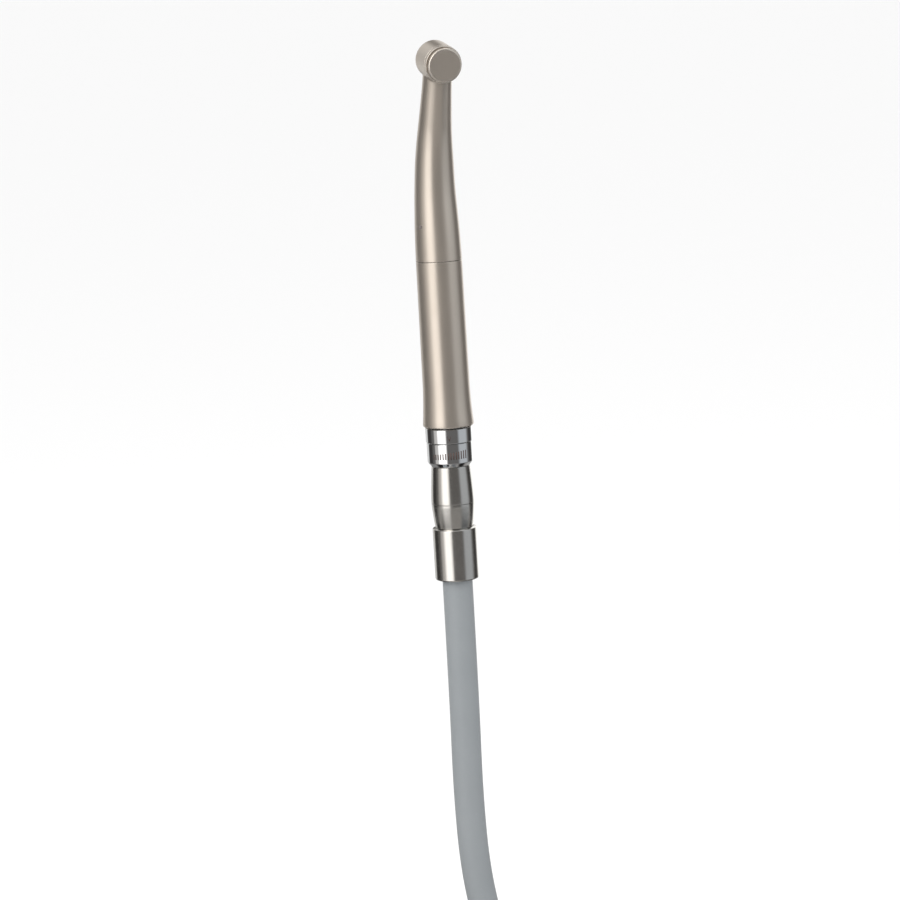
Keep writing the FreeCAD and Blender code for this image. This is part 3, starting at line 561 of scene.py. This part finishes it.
def cage_resin():
    """Brown cloth-filled resin, whose layers show as darker threads."""
    material, tree, principled = new_material("cage_resin", (0.33, 0.17, 0.06), 0.45)
    threads = grain(tree, stretched(tree, (9000, 2500, 9000)), 1, 3, 0.7)
    link(tree, mix_colours(tree, threads, (0.22, 0.10, 0.035), (0.44, 0.25, 0.10)), principled, "Base Color")
    bump(tree, principled, threads, 0.15, 0.00002)
    return material


def ceramic():
    """Polished dark ceramic with a faint mottling."""
    material, tree, principled = new_material("ceramic", (0.05, 0.05, 0.055), 0.08)
    mottle = grain(tree, here(tree), 4000, 4)
    link(tree, mix_colours(tree, mottle, (0.035, 0.035, 0.04), (0.08, 0.08, 0.085)), principled, "Base Color")
    principled.inputs["Coat Weight"].default_value = 0.5
    return material


def dot_enamel():
    """A drop of dark enamel, slightly crowned and glossy."""
    material, tree, principled = new_material("dot_enamel", (0.14, 0.12, 0.115), 0.25)
    cloud = grain(tree, here(tree), 2500, 2)
    link(tree, mix_colours(tree, cloud, (0.11, 0.095, 0.09), (0.17, 0.15, 0.145)), principled, "Base Color")
    principled.inputs["Coat Weight"].default_value = 0.6
    return material


def strap_fabric():
    """Black tape: a ribbed weave along the tape's own coordinates, under a fuzzy nap."""
    material, tree, principled = new_material("strap_fabric", (0.02, 0.02, 0.022), 0.85)
    tape = shader(tree, "ShaderNodeAttribute", {"attribute_name": "tape"}, output=1)
    ribs = shader(tree, "ShaderNodeTexWave", {"bands_direction": "X"}, {0: tape, 1: 0.42, 2: 0.6}, 1)
    warp = shader(tree, "ShaderNodeTexWave", {"bands_direction": "Y"}, {0: tape, 1: 0.30, 2: 0.8}, 1)
    weave = ribs * warp
    fuzz = grain(tree, here(tree), 3500, 5, 0.75)
    thread = mix_colours(tree, weave, (0.006, 0.006, 0.007), (0.026, 0.026, 0.029))
    link(tree, mix_colours(tree, fuzz * 0.5, thread, (0.040, 0.040, 0.043)), principled, "Base Color")
    link(tree, 0.72 + fuzz * 0.2, principled, "Roughness")
    principled.inputs["Sheen Weight"].default_value = 0.08
    principled.inputs["Specular IOR Level"].default_value = 0.2
    bump(tree, principled, weave + fuzz * 0.5, 0.6, 0.00015)
    return material


def ink_black():
    """Laser-darkened marks on chrome."""
    material, tree, principled = new_material("laser_mark", (0.07, 0.05, 0.045), 0.55, 0.4)
    speck = grain(tree, here(tree), 9000, 3)
    burnt = mix_colours(tree, speck, (0.045, 0.028, 0.024), (0.13, 0.085, 0.075))
    link(tree, burnt, principled, "Base Color")
    return material


FINISHES = {
    "champagne_metal": champagne_metal(),
    "bright_chrome": bright_chrome(),
    "satin_steel": turned_steel("satin_steel", (0.70, 0.685, 0.655), 0.15, 9000, 0.10),
    "turned_steel": turned_steel("turned_steel", (0.62, 0.62, 0.61), 0.22, 7000, 0.16),
    "bearing_steel": turned_steel("bearing_steel", (0.60, 0.61, 0.62), 0.10, 16000, 0.05),
    "wheel_alloy": turned_steel("wheel_alloy", (0.76, 0.77, 0.79), 0.28, 8000, 0.18),
    "spring_steel": spring_steel(),
    "grey_silicone": grey_silicone(),
    "seal_rubber": seal_rubber(),
    "cage_resin": cage_resin(),
    "ceramic": ceramic(),
    "dot_enamel": dot_enamel(),
    "strap_fabric": strap_fabric(),
}
LASER_MARK = ink_black()


def finish_piece(thing, slot, body, *nodes):
    """Give a piece its finish, its body and the CAD nodes that it stands for."""
    thing.data.materials.clear()
    thing.data.materials.append(FINISHES[slot])
    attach(thing, body)
    if nodes:
        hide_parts(*nodes)
    return thing


# %% Give every CAD node its finish
for part in frame["record"]["subparts"]:
    node = frame["nodes"][part["node"]]
    node.data.materials.clear()
    node.data.materials.append(FINISHES[part["material_slot"]])
print("finished nodes", len(frame["nodes"]))

# %% [markdown]
# ## Turned pieces
#
# Most of the handpiece is turned on a lathe, so one function spins an outline round the Z axis. Every
# corner may be rounded, because no real edge is sharp, and a rounded corner is what catches the light.
# The rounded corners also get the edge attribute, so that the finish can wear there.

# %% A lathe
AROUND = 144
CORNER_STEPS = 5


def rounded(corners, closed):
    """Outline points from corners of (radius, height) or (radius, height, rounding), with edge marks."""
    made = []
    count = len(corners)
    for index, corner in enumerate(corners):
        here_at = Vector(corner[:2])
        if len(corner) < 3 or (not closed and index in (0, count - 1)):
            made.append((here_at, 0.0))
            continue
        before = (Vector(corners[index - 1][:2]) - here_at).normalized()
        after = (Vector(corners[(index + 1) % count][:2]) - here_at).normalized()
        half = before.angle(after) / 2
        reach = corner[2] / math.tan(half)
        centre = here_at + (before + after).normalized() * corner[2] / math.sin(half)
        first, last = here_at + before * reach, here_at + after * reach
        sweep = (first - centre).angle_signed(last - centre)
        held = min(corner[2] * 0.25, 0.05)
        made.append((first + before * held, 0.0))
        for step in range(CORNER_STEPS + 1):
            spoke = (first - centre).copy()
            spoke.rotate(Matrix.Rotation(-sweep * step / CORNER_STEPS, 2))
            made.append((centre + spoke, 1.0))
        made.append((last + after * held, 0.0))
    return made


def lathe(name, corners, place=Matrix.Identity(4), closed=True, around=AROUND):
    """Spin an outline, in millimetres, round its own Z axis. closed joins its last corner to its first."""
    points = rounded(corners, closed)
    mesh = bmesh.new()
    edge = mesh.verts.layers.float.new("edge")
    rows = []
    for (radius, height), mark in points:
        spots = 1 if radius < 1e-6 else around
        row = []
        for step in range(spots):
            turn = 2 * math.pi * step / spots
            vert = mesh.verts.new((radius * math.cos(turn) * MM, radius * math.sin(turn) * MM, height * MM))
            vert[edge] = mark
            row.append(vert)
        rows.append(row)
    pairs = list(zip(rows, rows[1:])) + ([(rows[-1], rows[0])] if closed else [])
    for low, high in pairs:
        join_rows(mesh, low, high, around)
    bmesh.ops.recalc_face_normals(mesh, faces=mesh.faces)
    return mesh_piece(name, mesh, place)


def join_rows(mesh, low, high, around):
    """Faces between two rings, either of which may be one point on the axis."""
    if len(low) == 1 and len(high) == 1:
        return
    for step in range(around):
        after = (step + 1) % around
        nearer = (low[step % len(low)], low[after % len(low)])
        further = (high[after % len(high)], high[step % len(high)])
        mesh.faces.new(list(dict.fromkeys(nearer + further)))


def mesh_piece(name, mesh, place=Matrix.Identity(4)):
    """A smooth-shaded object from a bmesh, with its place in its mesh."""
    mesh.transform(place)
    data = bpy.data.meshes.new(name)
    mesh.to_mesh(data)
    mesh.free()
    data.polygons.foreach_set("use_smooth", [True] * len(data.polygons))
    thing = bpy.data.objects.new(name, data)
    bpy.context.scene.collection.objects.link(thing)
    return thing


# %% [markdown]
# ## The neck and head shell
#
# On the real object the neck and the head's barrel are one piece of metal. The neck is a row of circles
# along a centre line that bends at the knee. Near the head every line of the neck runs into the barrel
# through a rolling-ball fillet, which is worked out line by line: the ball touches the neck on one side
# and the barrel on the other, so the skin stays smooth where the two cylinders meet.

# %% The centre line and the head's own frame
SPIN = JOINTS["turbine_spin"]
HEAD_CENTRE = Vector(SPIN["pos_m"]) / MM
MOUTH_WAY = Vector(SPIN["axis"]).normalized()
HEAD_TURN = math.atan2(MOUTH_WAY.y, -MOUTH_WAY.z)
HEAD = Matrix.Translation(HEAD_CENTRE * MM) @ Matrix.Rotation(HEAD_TURN, 4, "X")
KNEE_HEIGHT = 100.0
KNEE_REACH = 14.0
NECK_LEAN = math.radians(19)
BEND_RADIUS = KNEE_REACH / math.tan(NECK_LEAN / 2)
BEND_LENGTH = BEND_RADIUS * NECK_LEAN
BEND_START = KNEE_HEIGHT - KNEE_REACH
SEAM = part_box("seam_gasket")[1].z / MM
SEAM_RADIUS = 7.55
# How thick the neck is along its length: (distance along the centre line, radius).
NECK_SHAPE = (
    (SEAM, SEAM_RADIUS),
    (77.0, 7.36),
    (86.0, 6.95),
    (93.0, 6.6),
    (100.0, 6.28),
    (106.0, 5.9),
    (112.0, 5.48),
    (119.0, 5.1),
    (126.0, 4.8),
    (132.0, 4.68),
    (140.0, 4.6),
)


def centre_line(along):
    """A point of the centre line and its direction, at a distance from the origin."""
    turned_by = min(max((along - BEND_START) / BEND_LENGTH, 0), 1) * NECK_LEAN
    straight = min(along, BEND_START)
    beyond = max(along - BEND_START - BEND_LENGTH, 0)
    way = Vector((0, -math.sin(turned_by), math.cos(turned_by)))
    bend = Vector((0, BEND_RADIUS * (math.cos(turned_by) - 1), BEND_RADIUS * math.sin(turned_by)))
    return Vector((0, 0, straight)) + bend + way * beyond, way


def neck_radius(along):
    """A smooth curve through NECK_SHAPE, by cubic steps with averaged slopes."""
    places = [place for place, _ in NECK_SHAPE]
    sizes = [size for _, size in NECK_SHAPE]
    slopes = np.gradient(sizes, places)
    spot = int(np.clip(np.searchsorted(places, along) - 1, 0, len(places) - 2))
    span = places[spot + 1] - places[spot]
    part = (along - places[spot]) / span
    return (
        sizes[spot] * (2 * part**3 - 3 * part**2 + 1)
        + sizes[spot + 1] * (3 * part**2 - 2 * part**3)
        + slopes[spot] * span * (part**3 - 2 * part**2 + part)
        + slopes[spot + 1] * span * (part**3 - part**2)
    )


def neck_spot(along, turn, extra=0.0):
    """A point on the neck's skin, or further out by extra."""
    middle, way = centre_line(along)
    side = Vector((1, 0, 0))
    up = way.cross(side)
    return middle + (side * math.cos(turn) + up * math.sin(turn)) * (neck_radius(along) + extra)


# %% The neck's skin, line by line
HEAD_RADIUS = 6.15
FILLET_SIDE = 1.5
FILLET_TOP = 0.22
SUNK = 0.4
NECK_ROWS = 84
APPROACH_ROWS = 14
FILLET_ROWS = 10
HALVINGS = 40
BLEND_START = 119.0


def head_distance(spot):
    """How far a point is from the head's axis, and the way there."""
    away = spot - HEAD_CENTRE
    away = away - MOUTH_WAY * away.dot(MOUTH_WAY)
    return away.length, away.normalized()


def fillet_line(turn):
    """Where the ball touches on one line of the neck: its size, place and the line's end."""
    size = FILLET_TOP + (FILLET_SIDE - FILLET_TOP) * math.cos(turn) ** 2
    low, high = BLEND_START, NECK_SHAPE[-1][0]
    for _ in range(HALVINGS):
        middle = (low + high) / 2
        if head_distance(neck_spot(middle, turn, size))[0] > HEAD_RADIUS + size:
            low = middle
        else:
            high = middle
    return size, low


def ring_turns():
    """The angles of the points round a ring."""
    return [2 * math.pi * step / AROUND for step in range(AROUND)]


def neck_rows():
    """Every row of the skin: plain rings first, then rows that close in on the barrel."""
    turns = ring_turns()
    rows = []
    for step in range(NECK_ROWS):
        along = SEAM + (BLEND_START - SEAM) * step / (NECK_ROWS - 1)
        rows.append([neck_spot(along, turn) for turn in turns])
    ends = [fillet_line(turn) for turn in turns]
    for step in range(1, APPROACH_ROWS + 1):
        part = step / APPROACH_ROWS
        row = []
        for turn, (_, end) in zip(turns, ends):
            row.append(neck_spot(BLEND_START + (end - BLEND_START) * part, turn))
        rows.append(row)
    for step in range(1, FILLET_ROWS + 1):
        row = []
        for turn, (size, end) in zip(turns, ends):
            ball = neck_spot(end, turn, size)
            first = (neck_spot(end, turn) - ball).normalized()
            last = -head_distance(ball)[1]
            row.append(ball + first.slerp(last, step / FILLET_ROWS) * size)
        rows.append(row)
    # The last row sinks into the barrel, so that no slit shows where the two skins meet.
    rows.append([spot - head_distance(spot)[1] * SUNK for spot in rows[-1]])
    return rows


def make_neck():
    """The neck's skin from the seam to the barrel, with a rounded seam edge that turns inwards."""
    mesh = bmesh.new()
    edge = mesh.verts.layers.float.new("edge")
    # The seam's edge: (radius, height above the seam, wear).
    seam_edge = (
        (6.6, 0.0, 0.0),
        (7.33, 0.0, 0.4),
        (7.47, 0.03, 1.0),
        (7.53, 0.1, 0.7),
        (SEAM_RADIUS, 0.2, 0.0),
    )
    spots = []
    for radius, lift, mark in seam_edge:
        ring = [Vector((radius * math.cos(t), radius * math.sin(t), SEAM + lift)) for t in ring_turns()]
        spots.append((ring, mark))
    spots += [(row, 0.0) for row in neck_rows()[1:]]
    rows = []
    for row, mark in spots:
        made = []
        for spot in row:
            vert = mesh.verts.new(spot * MM)
            vert[edge] = mark
            made.append(vert)
        rows.append(made)
    for low, high in zip(rows, rows[1:]):
        join_rows(mesh, low, high, AROUND)
    bmesh.ops.recalc_face_normals(mesh, faces=mesh.faces)
    return mesh_piece("neck_skin", mesh)


neck = make_neck()
print("neck faces", len(neck.data.polygons))

# %% [markdown]
# ## The head
#
# The barrel, the screwed back cap and the push button are all turned. The barrel's mouth side has a
# shallow recess round the bur hole and three spray holes. The button is a plain disc with a well
# rounded rim, standing clear of the cap by the little gap that it travels.

# %% Barrel
barrel = lathe(
    "head_barrel",
    [
        (1.8, -3.0),
        (1.8, -6.0, 0.12),
        (2.6, -6.0, 0.1),
        (2.6, -6.4, 0.12),
        (5.15, -6.4, 0.5),
        (HEAD_RADIUS, -5.3, 0.9),
        (HEAD_RADIUS, 3.58, 0.16),
        (5.25, 3.58, 0.1),
        (5.25, 2.6),
    ],
    HEAD,
    closed=False,
)


def join_pieces(name, pieces):
    """One object from several meshes, keeping their places and attributes."""
    with bpy.context.temp_override(active_object=pieces[0], selected_editable_objects=pieces):
        bpy.ops.object.join()
    pieces[0].name = name
    return pieces[0]


shell = join_pieces("front_shell_skin", [neck, barrel])
finish_piece(shell, "champagne_metal", "handpiece", "front_shell")

# %% Back cap and push button
BUTTON_TOP = 6.9
BUTTON_RADIUS = 5.65
CAP_RADIUS = 6.1
cap = lathe(
    "back_cap_ring",
    [
        (5.0, 3.15),
        (5.0, 3.64),
        (CAP_RADIUS, 3.64, 0.14),
        (CAP_RADIUS, 5.15, 0.3),
        (4.82, 5.15, 0.12),
        (4.82, 3.55),
        (1.3, 3.55),
        (1.3, 3.15),
    ],
    HEAD,
)
finish_piece(cap, "champagne_metal", "handpiece", "back_cap")

button = lathe(
    "push_button_cap",
    [
        (0, BUTTON_TOP),
        (3.0, BUTTON_TOP),
        (BUTTON_RADIUS, BUTTON_TOP, 0.58),
        (BUTTON_RADIUS, 5.8, 0.12),
        (4.74, 5.8),
        (4.74, 4.3, 0.1),
        (4.0, 4.3),
        (4.0, 5.6),
        (1.0, 5.6),
        (1.0, 3.2),
        (0, 3.1),
    ],
    HEAD,
    closed=False,
)
finish_piece(button, "champagne_metal", "button", "push_button")

# %% [markdown]
# ## The handle
#
# The handle sleeve is a thin tube that flares like a bell at its foot, so that the coupling's collar
# sits inside its shadow. Its outline is a straight taper above a flare, worked out as points.

# %% Handle sleeve
FOOT, TOP = (corner.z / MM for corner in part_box("handle_sleeve"))
FLARE_TOP = FOOT + 13.7
FLARE_RADIUS = 8.38
HANDLE_RADIUS = 7.72
FLARE_STEPS = 8
TAPER_STEPS = 12


def handle_outline():
    """The sleeve's outline from the foot's inner edge up to the seam."""
    points = [(6.9, FOOT + 2.2), (7.45, FOOT + 0.15, 0.1), (FLARE_RADIUS - 0.08, FOOT, 0.3)]
    for step in range(FLARE_STEPS + 1):
        part = step / FLARE_STEPS
        radius = HANDLE_RADIUS + (FLARE_RADIUS - HANDLE_RADIUS) * (1 - part) ** 1.7
        points.append((radius, FOOT + 0.7 + (FLARE_TOP - FOOT - 0.7) * part))
    for step in range(1, TAPER_STEPS + 1):
        part = step / TAPER_STEPS
        radius = HANDLE_RADIUS + (SEAM_RADIUS - HANDLE_RADIUS) * part
        points.append((radius, FLARE_TOP + (SEAM - 0.4 - FLARE_TOP) * part))
    return points + [(SEAM_RADIUS, SEAM - 0.1, 0.12), (6.55, SEAM - 0.1)]


sleeve = lathe("handle_sleeve_skin", handle_outline() + [(6.5, TOP - 3), (6.5, FOOT + 4)])
finish_piece(sleeve, "champagne_metal", "handpiece", "handle_sleeve")

# %% [markdown]
# ## The quick coupling
#
# Two bright bands, a satin sleeve that widens, a band that narrows and a plain nut. The gaps between
# them are hairlines, and the lower bright band has a cone below it, which sits in a holder.

# %% Collar and regulator ring
collar = lathe(
    "coupling_collar_band",
    [
        (5.2, 8.1),
        (7.7, 8.1, 0.22),
        (7.7, 12.85, 0.3),
        (7.0, 12.9),
        (6.7, 12.9, 0.1),
        (6.7, 12.5),
        (5.2, 12.5),
    ],
)
finish_piece(collar, "bright_chrome", "coupler", "coupling_collar")

regulator = lathe(
    "regulator_band",
    [(5.26, 0.05), (6.3, 0.05, 0.1), (7.5, 1.5, 0.3), (7.5, 7.95, 0.22), (5.26, 7.95)],
)
finish_piece(regulator, "bright_chrome", "regulator", "water_regulator")

# %% Sleeve, band and nut
SIDE_STEPS = 10
SIDE_PARTS = [step / SIDE_STEPS for step in range(SIDE_STEPS + 1)]
rear_sleeve = lathe(
    "rear_sleeve_skin",
    [(5.2, -12.44), (7.08, -12.44, 0.12)]
    + [(7.1 - 0.7 * part**1.35, -12.3 + 12.0 * part) for part in SIDE_PARTS]
    + [(6.38, -0.03, 0.15), (5.2, -0.03)],
)
finish_piece(rear_sleeve, "satin_steel", "coupler", "rear_sleeve")

lock_ring = lathe(
    "lock_ring_skin",
    [(5.2, -20.46), (6.2, -20.46, 0.1)]
    + [(6.22 + 0.86 * part**0.7, -20.3 + 7.6 * part) for part in SIDE_PARTS]
    + [(7.08, -12.53, 0.12), (5.2, -12.53)],
)
finish_piece(lock_ring, "satin_steel", "coupler", "sleeve_lock_ring")

nut = lathe(
    "hose_nut_skin",
    [
        (5.15, -37.98, 0.15),
        (7.0, -37.98, 0.15),
        (7.25, -37.6, 0.2),
        (7.25, -20.9, 0.35),
        (6.4, -20.58, 0.1),
        (5.25, -20.58),
        (5.25, -37.0),
    ],
)
finish_piece(nut, "satin_steel", "coupler", "hose_nut")

# %% [markdown]
# ## Small repeated details
#
# The regulator has a flow scale of laser marks, the union nut at the far end has grip ribs, and the bur
# side has three spray nozzles. Geometry Nodes put copies of one small piece along an arc. The tree is
# built once, and its named inputs say how many copies there are, where they are and how they grow.

# %% A Geometry Nodes tree for copies along an arc


def arc_of_copies():
    """Copies of the modified mesh on an arc round Z, growing in height from first to last."""
    tree = bpy.data.node_groups.new("arc_of_copies", "GeometryNodeTree")
    wanted = {"Piece": "Geometry", "Count": "Int", "Radius": "Float", "Start": "Float"}
    wanted |= {"Sweep": "Float", "Growth": "Float", "Finish": "Material"}
    for name, kind in wanted.items():
        tree.interface.new_socket(name=name, in_out="INPUT", socket_type="NodeSocket" + kind)
    tree.interface.new_socket(name="Copies", in_out="OUTPUT", socket_type="NodeSocketGeometry")
    given = tree.nodes.new("NodeGroupInput")
    count, radius = Wire(tree, given.outputs["Count"]), Wire(tree, given.outputs["Radius"])
    start, sweep = Wire(tree, given.outputs["Start"]), Wire(tree, given.outputs["Sweep"])
    growth = Wire(tree, given.outputs["Growth"])
    line = shader(tree, "GeometryNodeMeshLine", inputs={"Count": count})
    share = shader(tree, "GeometryNodeInputIndex") / (count - 1)
    angle = start + sweep * share
    across = {0: angle.maths("COSINE") * radius, 1: angle.maths("SINE") * radius}
    spot = shader(tree, "ShaderNodeCombineXYZ", inputs=across)
    points = shader(tree, "GeometryNodeSetPosition", inputs={"Geometry": line, "Position": spot})
    turn = shader(tree, "ShaderNodeCombineXYZ", inputs={2: angle})
    scale = shader(tree, "ShaderNodeCombineXYZ", inputs={0: 1, 1: 1, 2: 1 + growth * share})
    piece = Wire(tree, given.outputs["Piece"])
    placing = {"Points": points, "Instance": piece, "Rotation": turn, "Scale": scale}
    placed = shader(tree, "GeometryNodeInstanceOnPoints", inputs=placing)
    real = shader(tree, "GeometryNodeRealizeInstances", inputs={"Geometry": placed})
    finish = Wire(tree, given.outputs["Finish"])
    painted = shader(tree, "GeometryNodeSetMaterial", inputs={"Geometry": real, "Material": finish})
    out = tree.nodes.new("NodeGroupOutput")
    tree.links.new(painted.socket, out.inputs["Copies"])
    return tree


ARC_OF_COPIES = arc_of_copies()


def copied(piece, place, **values):
    """Turn a small piece into plain-mesh copies of itself, with the arc's middle at a place."""
    modifier = piece.modifiers.new("copies", "NODES")
    modifier.node_group = ARC_OF_COPIES
    for item in ARC_OF_COPIES.interface.items_tree:
        if item.name in values:
            modifier[item.identifier] = values[item.name]
    bpy.context.view_layer.update()
    ready = piece.evaluated_get(bpy.context.evaluated_depsgraph_get())
    mesh = bpy.data.meshes.new_from_object(ready)
    piece.modifiers.clear()
    piece.data = mesh
    piece.data.transform(place)
    return piece


def small_bar(name, thick, wide, tall, rounding):
    """A bar with rounded edges that stands on its own origin and faces along X. In millimetres."""
    mesh = bmesh.new()
    bmesh.ops.create_cube(mesh, size=1)
    bmesh.ops.scale(mesh, vec=(thick * MM, wide * MM, tall * MM), verts=mesh.verts)
    bmesh.ops.translate(mesh, vec=(0, 0, tall * MM / 2), verts=mesh.verts)
    bmesh.ops.bevel(mesh, geom=mesh.edges, offset=rounding * MM, segments=2, affect="EDGES")
    bmesh.ops.recalc_face_normals(mesh, faces=mesh.faces)
    return mesh_piece(name, mesh)


# %% Flow scale and index mark
FACING = math.atan2(-math.cos(CAMERA_AZIMUTH), math.sin(CAMERA_AZIMUTH))
SCALE_SWEEP = math.radians(88)
# The mark starts just under the collar's surface and stands a hair above it.
MARK_RADII = (7.66, 7.715)
ticks = copied(
    small_bar("flow_scale", 0.05, 0.42, 1.7, 0.02),
    Matrix.Translation((0, 0, 2.9 * MM)),
    Count=14,
    Radius=7.485 * MM,
    Start=FACING - SCALE_SWEEP * 0.52,
    Sweep=SCALE_SWEEP,
    Growth=0.7,
    Finish=LASER_MARK,
)
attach(ticks, "regulator")


def index_mark():
    """A small triangle on the collar, which the flow scale is read against."""
    mesh = bmesh.new()
    corners = ((-0.7, 10.7), (0.0, 9.0), (0.7, 10.7))
    rings = []
    for radius in MARK_RADII:
        ring = []
        for across, height in corners:
            angle = FACING + across / radius
            spot = Vector((radius * math.cos(angle), radius * math.sin(angle), height))
            ring.append(mesh.verts.new(spot * MM))
        rings.append(ring)
    mesh.faces.new(rings[0])
    mesh.faces.new(rings[1])
    join_rows(mesh, *rings, 3)
    bmesh.ops.recalc_face_normals(mesh, faces=mesh.faces)
    return mesh_piece("index_mark", mesh)


mark = index_mark()
mark.data.materials.append(LASER_MARK)
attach(mark, "coupler")
print("tick faces", len(ticks.data.polygons))

# %% Spray nozzles on the bur side
NOZZLE_REACH = 4.05
for number in range(3):
    around = math.radians(120 * number - 90)
    spot = Vector((math.cos(around), math.sin(around), 0)) * NOZZLE_REACH * MM
    place = HEAD @ Matrix.Translation(spot)
    nozzle = lathe(
        f"spray_nozzle_{number + 1}",
        [(0.28, -6.35), (0.28, -6.5, 0.04), (0.55, -6.5, 0.06), (0.55, -6.35)],
        place,
        around=32,
    )
    finish_piece(nozzle, "turned_steel", "handpiece")
    # A black disc in the seal rubber finish fills each nozzle's hole: painted shade that stands for the dark of
    # the bore.
    nozzle_shade_disc = lathe(
        f"nozzle_bore_shade_{number + 1}",
        [(0, -6.42), (0.27, -6.42), (0.27, -6.36), (0, -6.36)],
        place,
        around=24,
    )
    finish_piece(nozzle_shade_disc, "seal_rubber", "handpiece")

# %% [markdown]
# ## The springs
#
# Three small springs sit out of sight: stacks of coned steel discs under the button and behind the
# bur chuck, and one behind the non-return valve. A spring shortens when its joint moves, which no
# rigid piece can do. Each is a merged copy of its CAD solid, flat shaded, with the spring finish,
# in place of the CAD node, and it keeps its length.

# %% Springs


def working_spring(node, name, body):
    """A spring: a merged, flat-shaded copy of its CAD solid, in place of the CAD node."""
    mesh = bmesh.new()
    mesh.from_mesh(frame["nodes"][node].data)
    bmesh.ops.remove_doubles(mesh, verts=mesh.verts, dist=1e-6)
    spring = finish_piece(mesh_piece(name, mesh), "spring_steel", body, node)
    spring.data.polygons.foreach_set("use_smooth", [False] * len(spring.data.polygons))
    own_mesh(spring)


working_spring("button_spring", "button_return_spring", "handpiece")
working_spring("chuck_spring", "chuck_closing_spring", "rotor")
working_spring("valve_spring", "valve_closing_spring", "coupler")

# %% [markdown]
# ## The straps
#
# Two tapes tie the coil. Each is a closed band with thicker woven edges and a short end laid over
# itself. A tape carries its own coordinates, along and across, so that the weave follows it.

# %% Straps
# The band round the coil: its inner and outer radius, its reach past the turns and its corner bend.
STRAP_INSIDE = 44.8
STRAP_OUTSIDE = 55.2
STRAP_SIDE = 5.1
STRAP_BEND = 4.6


def tape_path(low, high, inner, outer, bend, steps=8):
    """A rounded rectangle round the coil's section: points (radius, depth) with outward directions."""
    path = []
    corners = ((outer - bend, low + bend, -90), (outer - bend, high - bend, 0))
    corners += ((inner + bend, high - bend, 90), (inner + bend, low + bend, 180))
    for radius, depth, start in corners:
        for step in range(steps + 1):
            angle = math.radians(start + 90 * step / steps)
            way = Vector((math.cos(angle), math.sin(angle)))
            path.append((Vector((radius, depth)) + way * bend, way))
    return path


# Across a tape: (place across, height), with a bound edge on each side.
TAPE_EDGE = ((-6.9, 0.1), (-7.0, 0.5), (-6.9, 1.15), (-6.4, 1.3), (-5.8, 1.2), (-5.5, 0.95))
TAPE_SECTION = TAPE_EDGE + tuple((-across, height) for across, height in reversed(TAPE_EDGE))


def make_tape(name, path, direction, closed=True, lift=0.0):
    """Sweep the tape's section along a path round the coil."""
    mesh = bmesh.new()
    tape = mesh.verts.layers.float_vector.new("tape")
    out = Vector((math.cos(direction), 0, math.sin(direction)))
    along = Vector((-math.sin(direction), 0, math.cos(direction)))
    rows, travelled, last = [], 0.0, path[0][0]
    for spot, way in path:
        travelled += (spot - last).length
        last = spot
        row = []
        for across, height in TAPE_SECTION:
            flat = spot + way * (height + lift)
            around_coil = out * flat.x + Vector((0, flat.y, 0)) + along * across
            vert = mesh.verts.new((COIL_CENTRE / MM + around_coil) * MM)
            vert[tape] = (travelled, across, height)
            row.append(vert)
        rows.append(row)
    pairs = list(zip(rows, rows[1:])) + ([(rows[-1], rows[0])] if closed else [])
    for low, high in pairs:
        join_rows(mesh, low, high, len(TAPE_SECTION))
    if not closed:
        mesh.faces.new(rows[0])
        mesh.faces.new(rows[-1])
    bmesh.ops.recalc_face_normals(mesh, faces=mesh.faces)
    return mesh_piece(name, mesh)


def tie_strap(number):
    """One strap round the coil where the CAD strap is, with its end laid over it."""
    node = f"coil_strap_{number}"
    low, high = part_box(node)
    middle = (low + high) / 2 - COIL_CENTRE
    direction = math.atan2(middle.z, middle.x)
    path = tape_path(-STRAP_SIDE, COIL_DEPTH / MM + STRAP_SIDE, STRAP_INSIDE, STRAP_OUTSIDE, STRAP_BEND)
    strap = make_tape(f"tie_strap_{number}", path, direction)
    finish_piece(strap, "strap_fabric", "coupler", node)
    run = [(Vector((STRAP_OUTSIDE, 4.0 + 2.0 * step)), Vector((1, 0))) for step in range(14)]
    end = make_tape(f"strap_end_{number}", run, direction, closed=False, lift=1.0)
    finish_piece(end, "strap_fabric", "coupler")
    return [strap.name, end.name]


strap_names = tie_strap(1) + tie_strap(2)
print("straps", strap_names)

# %% [markdown]
# ## The far end
#
# The hose ends in a plug that a ribbed union nut holds. The nut is turned, and its ribs are copies of
# one bar. Last, the hose gets its finish and its body, and the CAD hose nodes are hidden.

# %% Union nut at the far end
nut_low, nut_high = (corner.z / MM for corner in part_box("unit_nut"))
NUT_PLACE = Matrix.Translation((COIL_CENTRE.x + COIL_RADIUS, COIL_DEPTH, 0))
union_nut = lathe(
    "union_nut",
    [
        (5.25, nut_low),
        (6.8, nut_low, 0.3),
        (6.8, nut_low + 2.4, 0.15),
        (6.42, nut_low + 2.7),
        (6.42, nut_high - 2.7),
        (6.8, nut_high - 2.4, 0.15),
        (6.8, nut_high, 0.4),
        (5.25, nut_high),
    ],
    NUT_PLACE,
)
finish_piece(union_nut, "satin_steel", "coupler", "unit_nut")
grip = copied(
    small_bar("nut_grip", 0.7, 0.55, nut_high - nut_low - 5, 0.15),
    NUT_PLACE @ Matrix.Translation((0, 0, (nut_low + 2.5) * MM)),
    Count=41,
    Radius=6.42 * MM,
    Start=0.0,
    Sweep=2 * math.pi,
    Growth=0.0,
    Finish=FINISHES["satin_steel"],
)
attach(grip, "coupler")

# %% Hose finish
finish_piece(hose, "grey_silicone", "coupler", "hose", "hose_coil", "hose_end")
